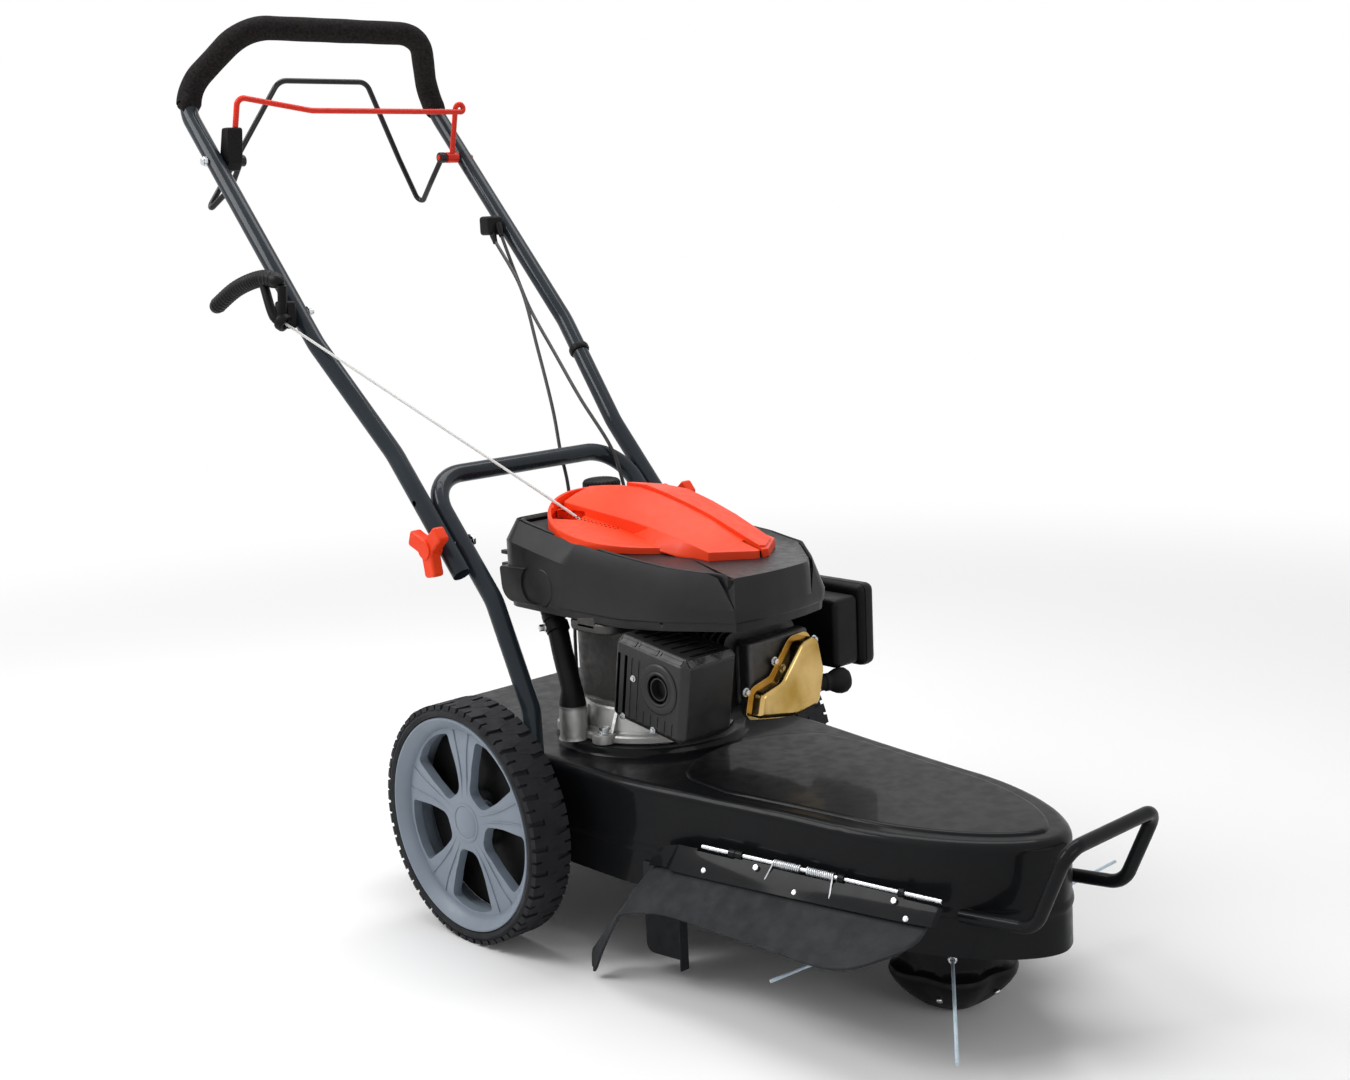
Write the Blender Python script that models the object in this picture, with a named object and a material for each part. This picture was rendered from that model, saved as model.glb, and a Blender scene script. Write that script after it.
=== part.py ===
"""Petrol wheeled string trimmer: two driven wheels, a pressed deck and a nylon-line head at the nose.

Metres, +Z up, front towards -Y, the operator's right side towards -X.
The origin is the middle of the trimmer head's flat glide face, on the ground.
"""

import math

import bmesh
import bpy
from mathutils import Matrix, Vector

# Clearances and sheet
GAP = 0.0003
SHEET = 0.002

# Wheels and rear axle, which stand beside the deck
DECK_HALF = 0.165
WHEEL_R = 0.150
AXLE_Y = 0.551
TYRE_WIDTH = 0.059
WHEEL_OUTER_X = DECK_HALF + 0.096
RIM_R = WHEEL_R - 0.032
HUB_R = 0.019
AXLE_R = 0.008
SPOKES = 5

# Pressed deck
DECK_TOP = 0.225
DECK_BOTTOM = 0.100
DECK_REAR = AXLE_Y + 0.253
DECK_TAPER_Y = AXLE_Y - 0.220
NOSE_HALF = DECK_HALF - 0.041
NOSE_Y = AXLE_Y - 0.475
NOSE_LENGTH = 0.225
NOSE_POWER = 1.75
ROLL_R = 0.012
PLATFORM_R = 0.118
PLATFORM_RISE = 0.010
PANEL_RISE = 0.003

# Trimmer head, measured up from the ground
HEAD_FLAT_R = 0.028
FLANGE_R = 0.074
FLANGE_Z = 0.046
DRUM_R = 0.058
LINE_Z = 0.078
LINE_R = 0.0016
HEAD_TOP = 0.112
SPINDLE_R = 0.0085

# Belts under the deck
HEAD_BELT_Z = 0.135
DRIVE_BELT_Z = WHEEL_R + 0.030
PULLEY_R = 0.034
GEARBOX_PULLEY_R = 0.040
BELT_HALF_WIDTH = 0.005
BELT_THICK = 0.008
GEARBOX_SHAFT_Y = AXLE_Y + 0.062

# Handle tubes
TUBE_R = 0.012
TUBE_WALL = 0.0015
LOWER_HALF = 0.1627
UPPER_HALF_LOW = LOWER_HALF + 2 * TUBE_R + GAP
UPPER_HALF = 0.2115
HANDLE_Y = AXLE_Y + 0.1306
HANDLE_Z = 0.5275
HANDLE_SLOPE = math.radians(48.1)
CLAMP_S = -0.068
BAIL_S = 0.5945
GRIP_S = 0.7171
FOAM_R = 0.017
BAIL_ROD_R = 0.004
BOLT_R = 0.004
GRIP_TOP_Z = 1.150
FOAM_START_Z = GRIP_TOP_Z - 0.104

# Engine, built round the crank axis
CRANK_Y = AXLE_Y - 0.076
CRANK_R = 0.0125
PTO_R = 0.011
ENGINE_BASE = DECK_TOP + PLATFORM_RISE + GAP
ENGINE_TOP = 0.395
SHROUD_WALL = 0.0025
SHROUD_FLOOR = 0.4710
COVER_R = 0.118

# Front guard rod
GUARD_R = 0.0075
GUARD_FOOT_X = 0.080

# Side guards: the hinge rod's two ends and its sizes
ROD_BACK = Vector((-(DECK_HALF - 0.0060), AXLE_Y - 0.331, 0.1722))
ROD_FRONT = Vector((-(NOSE_HALF - 0.0125), AXLE_Y - 0.623, 0.1700))
HINGE_ROD_R = 0.004
KNUCKLE_R = 0.0065
SPRING_WIRE_R = 0.0011
LUGS = ((0.0, 0.05), (0.38, 0.44), (0.95, 1.0))
BARRELS = ((0.06, 0.16), (0.53, 0.61), (0.84, 0.94))
SPRINGS = (("rear", 0.31), ("front", 0.46))

# Starter rope, from the cover's slot to the eye on the handle
ROPE_EYE = Vector((-(UPPER_HALF + 0.0335), AXLE_Y + 0.3293, 0.756))
ROPE_SLOT = Vector((-0.060, AXLE_Y - 0.004, 0.510))
ROPE_R = 0.00175
GUIDE_S = 0.320
CABLE_R = 0.0025

# Cables from the bracket to the gearbox and to the brake, y from the axle
DRIVE_ROUTE = (
    (UPPER_HALF - 0.0275, 0.437, 0.869), (UPPER_HALF - 0.0335, 0.420, 0.845),
    (0.160, 0.342, 0.776), (0.130, 0.274, 0.692), (0.103, 0.215, 0.612),
    (0.084, 0.180, 0.556), (0.077, 0.158, 0.500), (0.066, 0.144, 0.400), (0.055, 0.136, 0.300), (0.050, 0.130, 0.240),
    (0.050, 0.130, DECK_TOP + GAP),
)
BRAKE_ROUTE = (
    (UPPER_HALF - 0.0215, 0.430, 0.880), (UPPER_HALF - 0.0260, 0.412, 0.850),
    (0.178, 0.372, 0.790), (0.170, 0.334, 0.742), (0.155, 0.267, 0.683),
    (0.142, 0.200, 0.622), (0.137, 0.136, 0.560), (0.135, 0.112, 0.515), (0.137, 0.103, 0.460), (0.133, 0.086, 0.405),
    (0.115, 0.040, 0.374), (0.095, 0.010, 0.366), (0.0705, -0.006, 0.364),
)

# Ends of the two nylon lines, x and y
LINE_A_TIPS = ((-0.216, -0.174), (0.216, 0.174))
LINE_B_TIPS = ((-0.200, 0.086), (0.277, -0.030))

FINISHES = {}


def finish(name, colour, roughness, metallic=0.0):
    """A plain Principled material, kept under its name."""
    material = bpy.data.materials.new(name)
    material.use_nodes = True
    shader = material.node_tree.nodes["Principled BSDF"]
    shader.inputs["Base Color"].default_value = (*colour, 1.0)
    shader.inputs["Roughness"].default_value = roughness
    shader.inputs["Metallic"].default_value = metallic
    material.diffuse_color = (*colour, 1.0)
    FINISHES[name] = material


def add_finishes():
    finish("black_gloss", (0.018, 0.020, 0.024), 0.25)
    finish("tube_blue_black", (0.030, 0.040, 0.052), 0.28)
    finish("red_plastic", (0.90, 0.060, 0.018), 0.38)
    finish("red_rod", (0.80, 0.030, 0.016), 0.35)
    finish("black_rod", (0.020, 0.018, 0.024), 0.35)
    finish("foam", (0.018, 0.015, 0.015), 0.92)
    finish("black_plastic", (0.022, 0.022, 0.024), 0.55)
    finish("shroud_grey", (0.034, 0.036, 0.040), 0.60)
    finish("engine_casting", (0.40, 0.40, 0.38), 0.50, 0.8)
    finish("yellow_zinc", (0.36, 0.22, 0.070), 0.35, 0.9)
    finish("steel", (0.60, 0.60, 0.60), 0.30, 1.0)
    finish("muffler_black", (0.030, 0.030, 0.032), 0.55)
    finish("wheel_grey", (0.155, 0.205, 0.265), 0.50)
    finish("rubber", (0.020, 0.020, 0.021), 0.80)
    finish("nylon", (0.45, 0.55, 0.66), 0.40)
    finish("rope", (0.80, 0.80, 0.78), 0.85)
    finish("cable_black", (0.015, 0.015, 0.016), 0.45)


# Mesh helpers

def closed(bm):
    bmesh.ops.remove_doubles(bm, verts=bm.verts, dist=2e-6)
    bmesh.ops.recalc_face_normals(bm, faces=bm.faces)
    return bm


def node(name, bm, colour, pivot=(0.0, 0.0, 0.0), sharp=35.0):
    """Names a finished solid and puts its origin on its joint's axis."""
    mesh = bpy.data.meshes.new(name)
    closed(bm).to_mesh(mesh)
    bm.free()
    mesh.transform(Matrix.Translation(-Vector(pivot)))
    mesh.shade_smooth()
    mesh.set_sharp_from_angle(angle=math.radians(sharp))
    mesh.materials.append(FINISHES[colour])
    obj = bpy.data.objects.new(name, mesh)
    obj.location = pivot
    bpy.context.scene.collection.objects.link(obj)
    return obj


def boolean(base, tool, operation):
    """base cut by tool, joined to it or kept inside it, as one new mesh."""
    scene = bpy.context.scene.collection
    pair = []
    for bm in (base, tool):
        mesh = bpy.data.meshes.new("operand")
        closed(bm).to_mesh(mesh)
        bm.free()
        obj = bpy.data.objects.new("operand", mesh)
        scene.objects.link(obj)
        pair.append(obj)
    modifier = pair[0].modifiers.new("operation", "BOOLEAN")
    modifier.operation = operation
    modifier.solver = "EXACT"
    modifier.object = pair[1]
    graph = bpy.context.evaluated_depsgraph_get()
    mesh = bpy.data.meshes.new_from_object(pair[0].evaluated_get(graph))
    result = bmesh.new()
    result.from_mesh(mesh)
    bpy.data.meshes.remove(mesh)
    for obj in pair:
        mesh = obj.data
        bpy.data.objects.remove(obj)
        bpy.data.meshes.remove(mesh)
    return result


def unite(base, *tools):
    for tool in tools:
        base = boolean(base, tool, "UNION")
    return base


def cut(base, *tools):
    for tool in tools:
        base = boolean(base, tool, "DIFFERENCE")
    return base


def loft(rings, capped=True):
    """A skin through rings that have the same number of points, in order."""
    bm = bmesh.new()
    rows = [[bm.verts.new(point) for point in ring] for ring in rings]
    for low, high in zip(rows, rows[1:]):
        for i in range(len(low)):
            j = (i + 1) % len(low)
            bm.faces.new((low[i], low[j], high[j], high[i]))
    if capped:
        bm.faces.new(rows[0][::-1])
        bm.faces.new(rows[-1])
    else:
        first, last = rows[0], rows[-1]
        for i in range(len(first)):
            j = (i + 1) % len(first)
            bm.faces.new((last[i], last[j], first[j], first[i]))
    return closed(bm)


AXES = {
    "X": lambda a, b, along: (along, a, b),
    "Y": lambda a, b, along: (a, along, b),
    "Z": lambda a, b, along: (a, b, along),
}


def slab(outline, axis, low, high):
    """A flat outline in the other two axes, from low to high along axis."""
    place = AXES[axis]
    return loft([[place(a, b, end) for a, b in outline] for end in (low, high)])


def block(low, high, bevel=0.0, segments=1):
    """A box between two corners, with its edges bevelled."""
    outline = [(low[0], low[1]), (high[0], low[1]), (high[0], high[1]), (low[0], high[1])]
    bm = slab(outline, "Z", low[2], high[2])
    if bevel:
        bmesh.ops.bevel(bm, geom=bm.edges[:], offset=bevel, segments=segments, affect="EDGES", profile=0.5)
    return bm


def turned(profile, centre, steps, axis="Z", start=0.0):
    """A closed (radius, height) profile turned about an axis through centre."""
    place = AXES[axis]
    offset = Vector(centre)
    rings = []
    for k in range(steps):
        angle = start + 2 * math.pi * k / steps
        rings.append([Vector(place(r * math.cos(angle), r * math.sin(angle), h)) + offset for r, h in profile])
    bm = loft(rings, capped=False)
    bmesh.ops.dissolve_degenerate(bm, dist=1e-6, edges=bm.edges)
    return closed(bm)


def disc(radius, low, high, centre=(0.0, 0.0, 0.0), steps=24, axis="Z"):
    return slab_round(radius, radius, low, high, centre, steps, axis)


def slab_round(radius_low, radius_high, low, high, centre, steps, axis="Z"):
    """A cylinder or cone frustum along an axis, centred on a point."""
    place = AXES[axis]
    offset = Vector(centre)
    rings = []
    for radius, height in ((radius_low, low), (radius_high, high)):
        ring = []
        for k in range(steps):
            angle = 2 * math.pi * k / steps
            ring.append(Vector(place(radius * math.cos(angle), radius * math.sin(angle), height)) + offset)
        rings.append(ring)
    return loft(rings)


def running(radius, sides):
    """The radius of a many-sided hole whose flats clear a pin that turns in it."""
    return (radius + 0.0002) / math.cos(math.pi / sides)


def rod(start, end, radius, steps=12):
    """A straight round bar between two points."""
    return tube([start, end], radius, steps)


def rounded(points, radii, facet=18.0):
    """A path through corner points, each corner turned on its own radius in short straight facets."""
    corners = [Vector(point) for point in points]
    path = [corners[0]]
    for before, corner, after, radius in zip(corners, corners[1:], corners[2:], radii):
        back = (before - corner).normalized()
        ahead = (after - corner).normalized()
        half = back.angle(ahead) / 2
        reach = radius / math.tan(half)
        centre = corner + (back + ahead).normalized() * (radius / math.sin(half))
        first = (corner + back * reach - centre).normalized()
        last = (corner + ahead * reach - centre).normalized()
        steps = max(1, math.ceil(math.degrees(first.angle(last)) / facet))
        for k in range(steps + 1):
            path.append(centre + first.slerp(last, k / steps) * radius)
    path.append(corners[-1])
    return path


def smooth(points, spacing):
    """Points at an even spacing on a smooth curve through the given points."""
    knots = [Vector(p) for p in points]
    ends = [2 * knots[0] - knots[1], *knots, 2 * knots[-1] - knots[-2]]
    fine = []
    for a, b, c, d in zip(ends, ends[1:], ends[2:], ends[3:]):
        for k in range(40):
            t = k / 40
            fine.append(0.5 * (2 * b + (c - a) * t + (2 * a - 5 * b + 4 * c - d) * t * t
                               + (3 * b - a - 3 * c + d) * t ** 3))
    fine.append(knots[-1])
    path = [fine[0]]
    walked = 0.0
    for a, b in zip(fine, fine[1:]):
        walked += (b - a).length
        if walked >= spacing:
            path.append(b)
            walked = 0.0
    if (path[-1] - fine[-1]).length < spacing / 2:
        path.pop()
    path.append(fine[-1])
    return path


def mirrored(points):
    """The path and its mirror image across the middle, as one run from right to left."""
    return [Vector(p) for p in points] + [Vector((-p[0], p[1], p[2])) for p in reversed(points)]


def frames(path, side=None):
    """A direction and two square directions at each point, turning as little as possible."""
    path = [Vector(p) for p in path]
    result = []
    for i, point in enumerate(path):
        before = path[max(i - 1, 0)]
        after = path[min(i + 1, len(path) - 1)]
        ahead = (after - before).normalized()
        if side is None:
            side = ahead.orthogonal().normalized()
        side = (side - ahead * side.dot(ahead)).normalized()
        result.append((point, side, ahead.cross(side)))
    return result


def tube(path, radius, sides=12, bore=0.0, side=None):
    """A round bar along a path, or a pipe open at both ends where it has a bore."""
    outer = []
    inner = []
    for point, side, up in frames(path, side):
        for ring, r in ((outer, radius), (inner, bore)):
            ring.append([
                point + (side * math.cos(2 * math.pi * k / sides) + up * math.sin(2 * math.pi * k / sides)) * r
                for k in range(sides)
            ])
    if bore:
        return loft(outer + inner[::-1], capped=False)
    return loft(outer)


def cord(name, points, radius, colour, spacing):
    """A cord or cable: a curve with a round bevel along a smooth run of points."""
    curve = bpy.data.curves.new(name, "CURVE")
    curve.dimensions = "3D"
    curve.bevel_depth = radius
    curve.bevel_resolution = 2
    curve.use_fill_caps = True
    spline = curve.splines.new("POLY")
    path = smooth(points, spacing)
    spline.points.add(len(path) - 1)
    for place, point in zip(spline.points, path):
        place.co = (*point, 1.0)
    curve.materials.append(FINISHES[colour])
    obj = bpy.data.objects.new(name, curve)
    bpy.context.scene.collection.objects.link(obj)
    return obj


def spin_about(bm, angle, centre, axis):
    """Turns a mesh about an axis through centre."""
    bmesh.ops.rotate(bm, verts=bm.verts, cent=centre, matrix=Matrix.Rotation(angle, 3, axis))
    return bm


# Wheels

def wheel(side, name):
    """One spoked rim with its tyre. side is -1 on the operator's right and +1 on the left."""
    outer = side * WHEEL_OUTER_X
    inner = side * (WHEEL_OUTER_X - TYRE_WIDTH)
    centre = (0.0, AXLE_Y, WHEEL_R)
    steps = 24
    start = -math.pi / 2
    low, high = sorted((outer, inner))

    def across(share):
        return low + (high - low) * share

    lip = 0.006
    rim = turned([
        (RIM_R, low + lip), (RIM_R + 0.014, low + lip), (RIM_R + 0.006, across(0.3)),
        (RIM_R + 0.006, across(0.7)), (RIM_R + 0.014, high - lip), (RIM_R, high - lip),
    ], centre, steps, "X", start)
    web = 0.012
    face = outer - side * 0.012
    hub = disc(HUB_R, *sorted((face, inner + side * 0.004)), centre, 14, "X")
    rim = unite(rim, hub)
    for k in range(SPOKES):
        spoke = slab([
            (HUB_R - 0.008, -0.012), (RIM_R * 0.55, -0.017), (RIM_R + 0.001, -0.028),
            (RIM_R + 0.001, 0.028), (RIM_R * 0.55, 0.017), (HUB_R - 0.008, 0.012),
        ], "X", *sorted((face - side * 0.004, face - side * (0.004 + web))))
        groove = slab([
            (HUB_R + 0.006, -0.003), (RIM_R - 0.012, -0.007), (RIM_R - 0.012, 0.007), (HUB_R + 0.006, 0.003),
        ], "X", *sorted((face, face - side * 0.008)))
        spoke = cut(spoke, groove)
        bmesh.ops.translate(spoke, verts=spoke.verts, vec=centre)
        spin_about(spoke, -2 * math.pi * k / SPOKES - math.pi / 2, centre, "X")
        rim = unite(rim, spoke)
    bore = disc(running(AXLE_R, 12), *sorted((face - side * 0.004, inner - side * 0.010)), centre, 12, "X")
    rim = cut(rim, bore)
    node("wheel_rim_" + name, rim, "wheel_grey", centre)

    bead = RIM_R + 0.006 + GAP
    side_in = RIM_R + 0.014 + GAP
    tyre = turned([
        (bead, across(0.3)), (side_in, low + lip), (WHEEL_R - 0.008, low), (WHEEL_R, low + 0.012),
        (WHEEL_R, high - 0.012), (WHEEL_R - 0.008, high), (side_in, high - lip), (bead, across(0.7)),
    ], centre, steps, "X", start)
    node("tyre_" + name, tyre, "rubber", centre)


def wheels():
    wheel(-1, "right")
    wheel(1, "left")
    reach = WHEEL_OUTER_X - 0.012 - 0.006
    axle = disc(AXLE_R, -reach, reach, (0.0, AXLE_Y, WHEEL_R), 12, "X")
    node("rear_axle", axle, "steel", (0.0, AXLE_Y, WHEEL_R))
    for side, name in ((-1, "right"), (1, "left")):
        plate_in = DECK_HALF + GAP
        outline = [
            (AXLE_Y - 0.045, WHEEL_R - 0.032), (AXLE_Y + 0.045, WHEEL_R - 0.032), (AXLE_Y + 0.045, WHEEL_R + 0.015),
            (AXLE_Y + 0.025, WHEEL_R + 0.055), (AXLE_Y - 0.025, WHEEL_R + 0.055), (AXLE_Y - 0.045, WHEEL_R + 0.015),
        ]
        plate = slab(outline, "X", *sorted((side * plate_in, side * (plate_in + 0.004))))
        boss_end = WHEEL_OUTER_X - TYRE_WIDTH - 0.002
        boss = disc(0.016, *sorted((side * (plate_in + 0.002), side * boss_end)), (0.0, AXLE_Y, WHEEL_R), 14, "X")
        bracket = unite(plate, boss)
        span = sorted((side * (plate_in - 0.015), side * (boss_end + 0.020)))
        bore = disc(running(AXLE_R, 12), *span, (0.0, AXLE_Y, WHEEL_R), 12, "X")
        node("axle_bracket_" + name, cut(bracket, bore), "black_gloss")


# Deck

def deck_outline(inset=0.0):
    """The deck seen from above, from the rear right corner round the nose to the rear left."""
    half = []
    corner = 0.030
    for k in range(3):
        angle = math.pi / 2 * k / 2
        half.append((DECK_HALF - corner + corner * math.sin(angle), DECK_REAR - corner + corner * math.cos(angle)))
    half.append((DECK_HALF, DECK_TAPER_Y + 0.060))
    half.append((DECK_HALF - 0.003, DECK_TAPER_Y))
    half.append((DECK_HALF - 0.021, DECK_TAPER_Y - 0.115))
    half.append((NOSE_HALF + 0.005, NOSE_Y + 0.030))
    turns = 7
    for k in range(1, turns + 1):
        t = math.sin(math.pi / 2 * k / turns)
        width = NOSE_HALF * (1 - t ** NOSE_POWER) ** (1 / NOSE_POWER) if k < turns else 0.0
        half.append((width, NOSE_Y - NOSE_LENGTH * t))
    outline = [(-x, y) for x, y in half] + [(x, y) for x, y in reversed(half[:-1])]
    return offset_outline(outline, inset)


def offset_outline(outline, inset):
    """Moves each point of a closed outline inwards by inset, square to its neighbours."""
    if not inset:
        return outline
    points = [Vector(p) for p in outline]
    area = sum(a.x * b.y - b.x * a.y for a, b in zip(points, points[1:] + points[:1]))
    turn = 1.0 if area > 0 else -1.0
    moved = []
    for i, point in enumerate(points):
        before = (point - points[i - 1]).normalized()
        after = (points[(i + 1) % len(points)] - point).normalized()
        along = (before + after).normalized()
        inward = Vector((-along.y, along.x)) * turn
        spread = max(0.5, inward.dot(Vector((-before.y, before.x)) * turn))
        moved.append(tuple(point + inward * (inset / spread)))
    return moved


def offset_x(y):
    """Half the deck's width at y."""
    side = [(py, px) for px, py in deck_outline() if px >= 0.0]
    side.sort()
    for (low_y, low_x), (high_y, high_x) in zip(side, side[1:]):
        if low_y <= y <= high_y:
            return low_x + (high_x - low_x) * (y - low_y) / (high_y - low_y)
    return 0.0


def level(outline, height):
    return [(x, y, height) for x, y in outline]


def deck_body(inset, bottom):
    """The deck's outer form, or the form of its hollow where inset is the sheet's thickness."""
    top = DECK_TOP - inset
    roll = ROLL_R - inset
    rings = [level(deck_outline(inset), bottom), level(deck_outline(inset), top - roll)]
    for k in range(1, 3):
        angle = math.pi / 2 * k / 2
        drawn = inset + roll * (1 - math.cos(angle))
        rings.append(level(deck_outline(drawn), top - roll + roll * math.sin(angle)))
    return loft(rings)


def panel_outline(inset):
    """The raised panel on the nose: it follows the edge, and ends in an arc behind."""
    points = []
    for x, y in deck_outline(0.024 + inset):
        if y < AXLE_Y - 0.300:
            points.append((x, y))
    rear = AXLE_Y - 0.205 - inset
    arc = []
    for k in range(1, 6):
        angle = math.pi * k / 6
        arc.append((0.115 * math.cos(angle), rear - 0.072 * (1 - math.sin(angle))))
    return points + arc


def deck():
    outer = deck_body(0.0, DECK_BOTTOM)
    hollow = deck_body(SHEET, DECK_BOTTOM - 0.010)
    crank = (0.0, CRANK_Y, 0.0)
    top = DECK_TOP + PLATFORM_RISE
    outer = unite(outer, slab_round(PLATFORM_R + 0.006, PLATFORM_R, DECK_TOP - 0.001, top, crank, 24))
    hollow = unite(hollow, slab_round(PLATFORM_R + 0.004, PLATFORM_R - SHEET, DECK_TOP - SHEET - 0.001,
                                      top - SHEET, crank, 24))
    raised = loft([level(panel_outline(0.0), DECK_TOP - 0.001), level(panel_outline(0.003), DECK_TOP + PANEL_RISE)])
    pressed = loft([level(panel_outline(SHEET), DECK_TOP - SHEET - 0.001),
                    level(panel_outline(SHEET + 0.003), DECK_TOP + PANEL_RISE - SHEET)])
    outer = unite(outer, raised)
    hollow = unite(hollow, pressed)
    shell = cut(outer, hollow)
    shell = cut(shell, disc(0.030, DECK_TOP - 0.020, top + 0.010, crank, 16))
    through = DECK_HALF + 0.035
    shell = cut(shell, disc(AXLE_R + 0.004, -through, through, (0.0, AXLE_Y, WHEEL_R), 12, "X"))
    shell = cut(shell, tube(guard_path(), GUARD_R + GAP, 8))
    axis = (ROD_FRONT - ROD_BACK).normalized()
    for start, end in LUGS:
        low, high = along_rod(end), along_rod(start)
        reach = -offset_x((low.y + high.y) / 2) + 0.0015
        arm = loft([[Vector((x, y, z)) for x, z in ((low.x, low.z - 0.005), (low.x, low.z + 0.005),
                                                   (reach, low.z + 0.005), (reach, low.z - 0.010))]
                    for y in (low.y, high.y)])
        shell = unite(shell, arm)
        shell = unite(shell, rod(along_rod(start), along_rod(end), KNUCKLE_R, 8))
    shell = cut(shell, rod(ROD_BACK - axis * 0.02, ROD_FRONT + axis * 0.02, HINGE_ROD_R + GAP, 8))
    node("deck", shell, "black_gloss")


def guard_path():
    """The guard rod's centre line, from inside the right skirt round the front to the left."""
    y_front = AXLE_Y - 0.757
    half = [
        (-GUARD_FOOT_X, AXLE_Y - 0.628, 0.146), (-GUARD_FOOT_X, AXLE_Y - 0.718, 0.156),
        (-GUARD_FOOT_X, y_front, 0.247),
    ]
    return rounded(mirrored(half), [0.030, 0.022, 0.022, 0.030], 30.0)


def front_guard():
    node("front_guard", tube(guard_path(), GUARD_R, 8), "black_gloss")


# Handle

def on_handle(s, x=0.0, off=0.0):
    """A point s along the handle's straight side, seen from the side, and off in front of it."""
    along = Vector((0.0, math.cos(HANDLE_SLOPE), math.sin(HANDLE_SLOPE)))
    front = Vector((0.0, -math.sin(HANDLE_SLOPE), math.cos(HANDLE_SLOPE)))
    return Vector((x, HANDLE_Y, HANDLE_Z)) + along * s + front * off


def upper_path():
    half = [
        on_handle(-0.113, -UPPER_HALF_LOW), on_handle(0.078, -UPPER_HALF_LOW), on_handle(0.2655, -UPPER_HALF),
        on_handle(GRIP_S, -UPPER_HALF), Vector((-0.1468, AXLE_Y + 0.5292, GRIP_TOP_Z)),
    ]
    return rounded(mirrored(half), [0.12, 0.12, 0.0525, 0.066, 0.066, 0.0525, 0.12, 0.12], 30.0)


def grip_path():
    """The part of the upper handle's path that the foam covers, and the tube's own side there."""
    path = upper_path()
    sides = [frame[1] for frame in frames(path)]
    covered = []
    first_side = None
    for a, b, side in zip(path, path[1:], sides):
        if (a.z < FOAM_START_Z) != (b.z < FOAM_START_Z):
            first_side = first_side or side
        if b.z > FOAM_START_Z:
            covered.append(b)
    return covered, first_side


def lower_path():
    foot_x = DECK_HALF + GAP + TUBE_R
    half = [
        Vector((-foot_x, AXLE_Y - 0.078, 0.128)), Vector((-foot_x, AXLE_Y - 0.055, 0.230)),
        Vector((-LOWER_HALF, AXLE_Y - 0.036, 0.280)), on_handle(-0.158, -LOWER_HALF), on_handle(0.034, -LOWER_HALF),
    ]
    return rounded(mirrored(half), [0.06, 0.06, 0.06, 0.055, 0.055, 0.06, 0.06, 0.06], 30.0)


def clamp_hole(radius):
    """A drill through every tube at the two clamping bolts."""
    centre = on_handle(CLAMP_S)
    return disc(radius, -0.30, 0.30, centre, 8, "X")


def handle():
    lower = tube(lower_path(), TUBE_R, 8, TUBE_R - TUBE_WALL)
    node("lower_handle", cut(lower, clamp_hole(BOLT_R + GAP)), "tube_blue_black")
    upper = tube(upper_path(), TUBE_R, 8, TUBE_R - TUBE_WALL)
    upper = cut(upper, clamp_hole(running(BOLT_R, 8)))
    upper = cut(upper, disc(running(BOLT_R, 8), -0.30, 0.30, on_handle(BAIL_S), 8, "X"))
    upper = cut(upper, disc(BOLT_R + GAP, -0.30, -0.19, on_handle(GUIDE_S), 8, "X"))
    node("upper_handle", upper, "tube_blue_black", on_handle(CLAMP_S))
    covered, side = grip_path()
    foam = tube(covered, FOAM_R, 8, TUBE_R + 0.0016, side)
    node("foam_grip", foam, "foam", on_handle(CLAMP_S))
    clamp = on_handle(CLAMP_S)
    for side, name in ((-1, "right"), (1, "left")):
        inboard = LOWER_HALF - TUBE_R - GAP
        outboard = UPPER_HALF_LOW + TUBE_R + 0.022
        bolt = disc(BOLT_R, *sorted((side * (inboard - 0.003), side * outboard)), clamp, 8, "X")
        head = disc(0.0075, *sorted((side * inboard, side * (inboard - 0.006))), clamp, 6, "X")
        node("handle_bolt_" + name, unite(bolt, head), "steel", clamp)
        knob(side, name)


def knob(side, name):
    """A three-lobed clamping knob on its bolt, with one lobe down."""
    clamp = on_handle(CLAMP_S)
    seat = UPPER_HALF_LOW + TUBE_R + GAP
    low, high = sorted((side * (seat + 0.004), side * (seat + 0.020)))
    lobes = []
    for k in range(3):
        lobe = math.radians(120 * k - 100)
        for spread, radius in ((-60, 0.011), (-22, 0.026), (-16, 0.037), (16, 0.037), (22, 0.026)):
            angle = lobe + math.radians(spread)
            lobes.append((radius * math.cos(angle) + clamp.y, radius * math.sin(angle) + clamp.z))
    body = slab(lobes, "X", low, high)
    neck = disc(0.011, *sorted((side * seat, side * (seat + 0.010))), clamp, 12, "X")
    body = unite(body, neck)
    body = cut(body, disc(running(BOLT_R, 8), *sorted((side * (seat - 0.005), side * (seat + 0.040))), clamp, 8, "X"))
    node("knob_" + name, body, "red_plastic", clamp)


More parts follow.
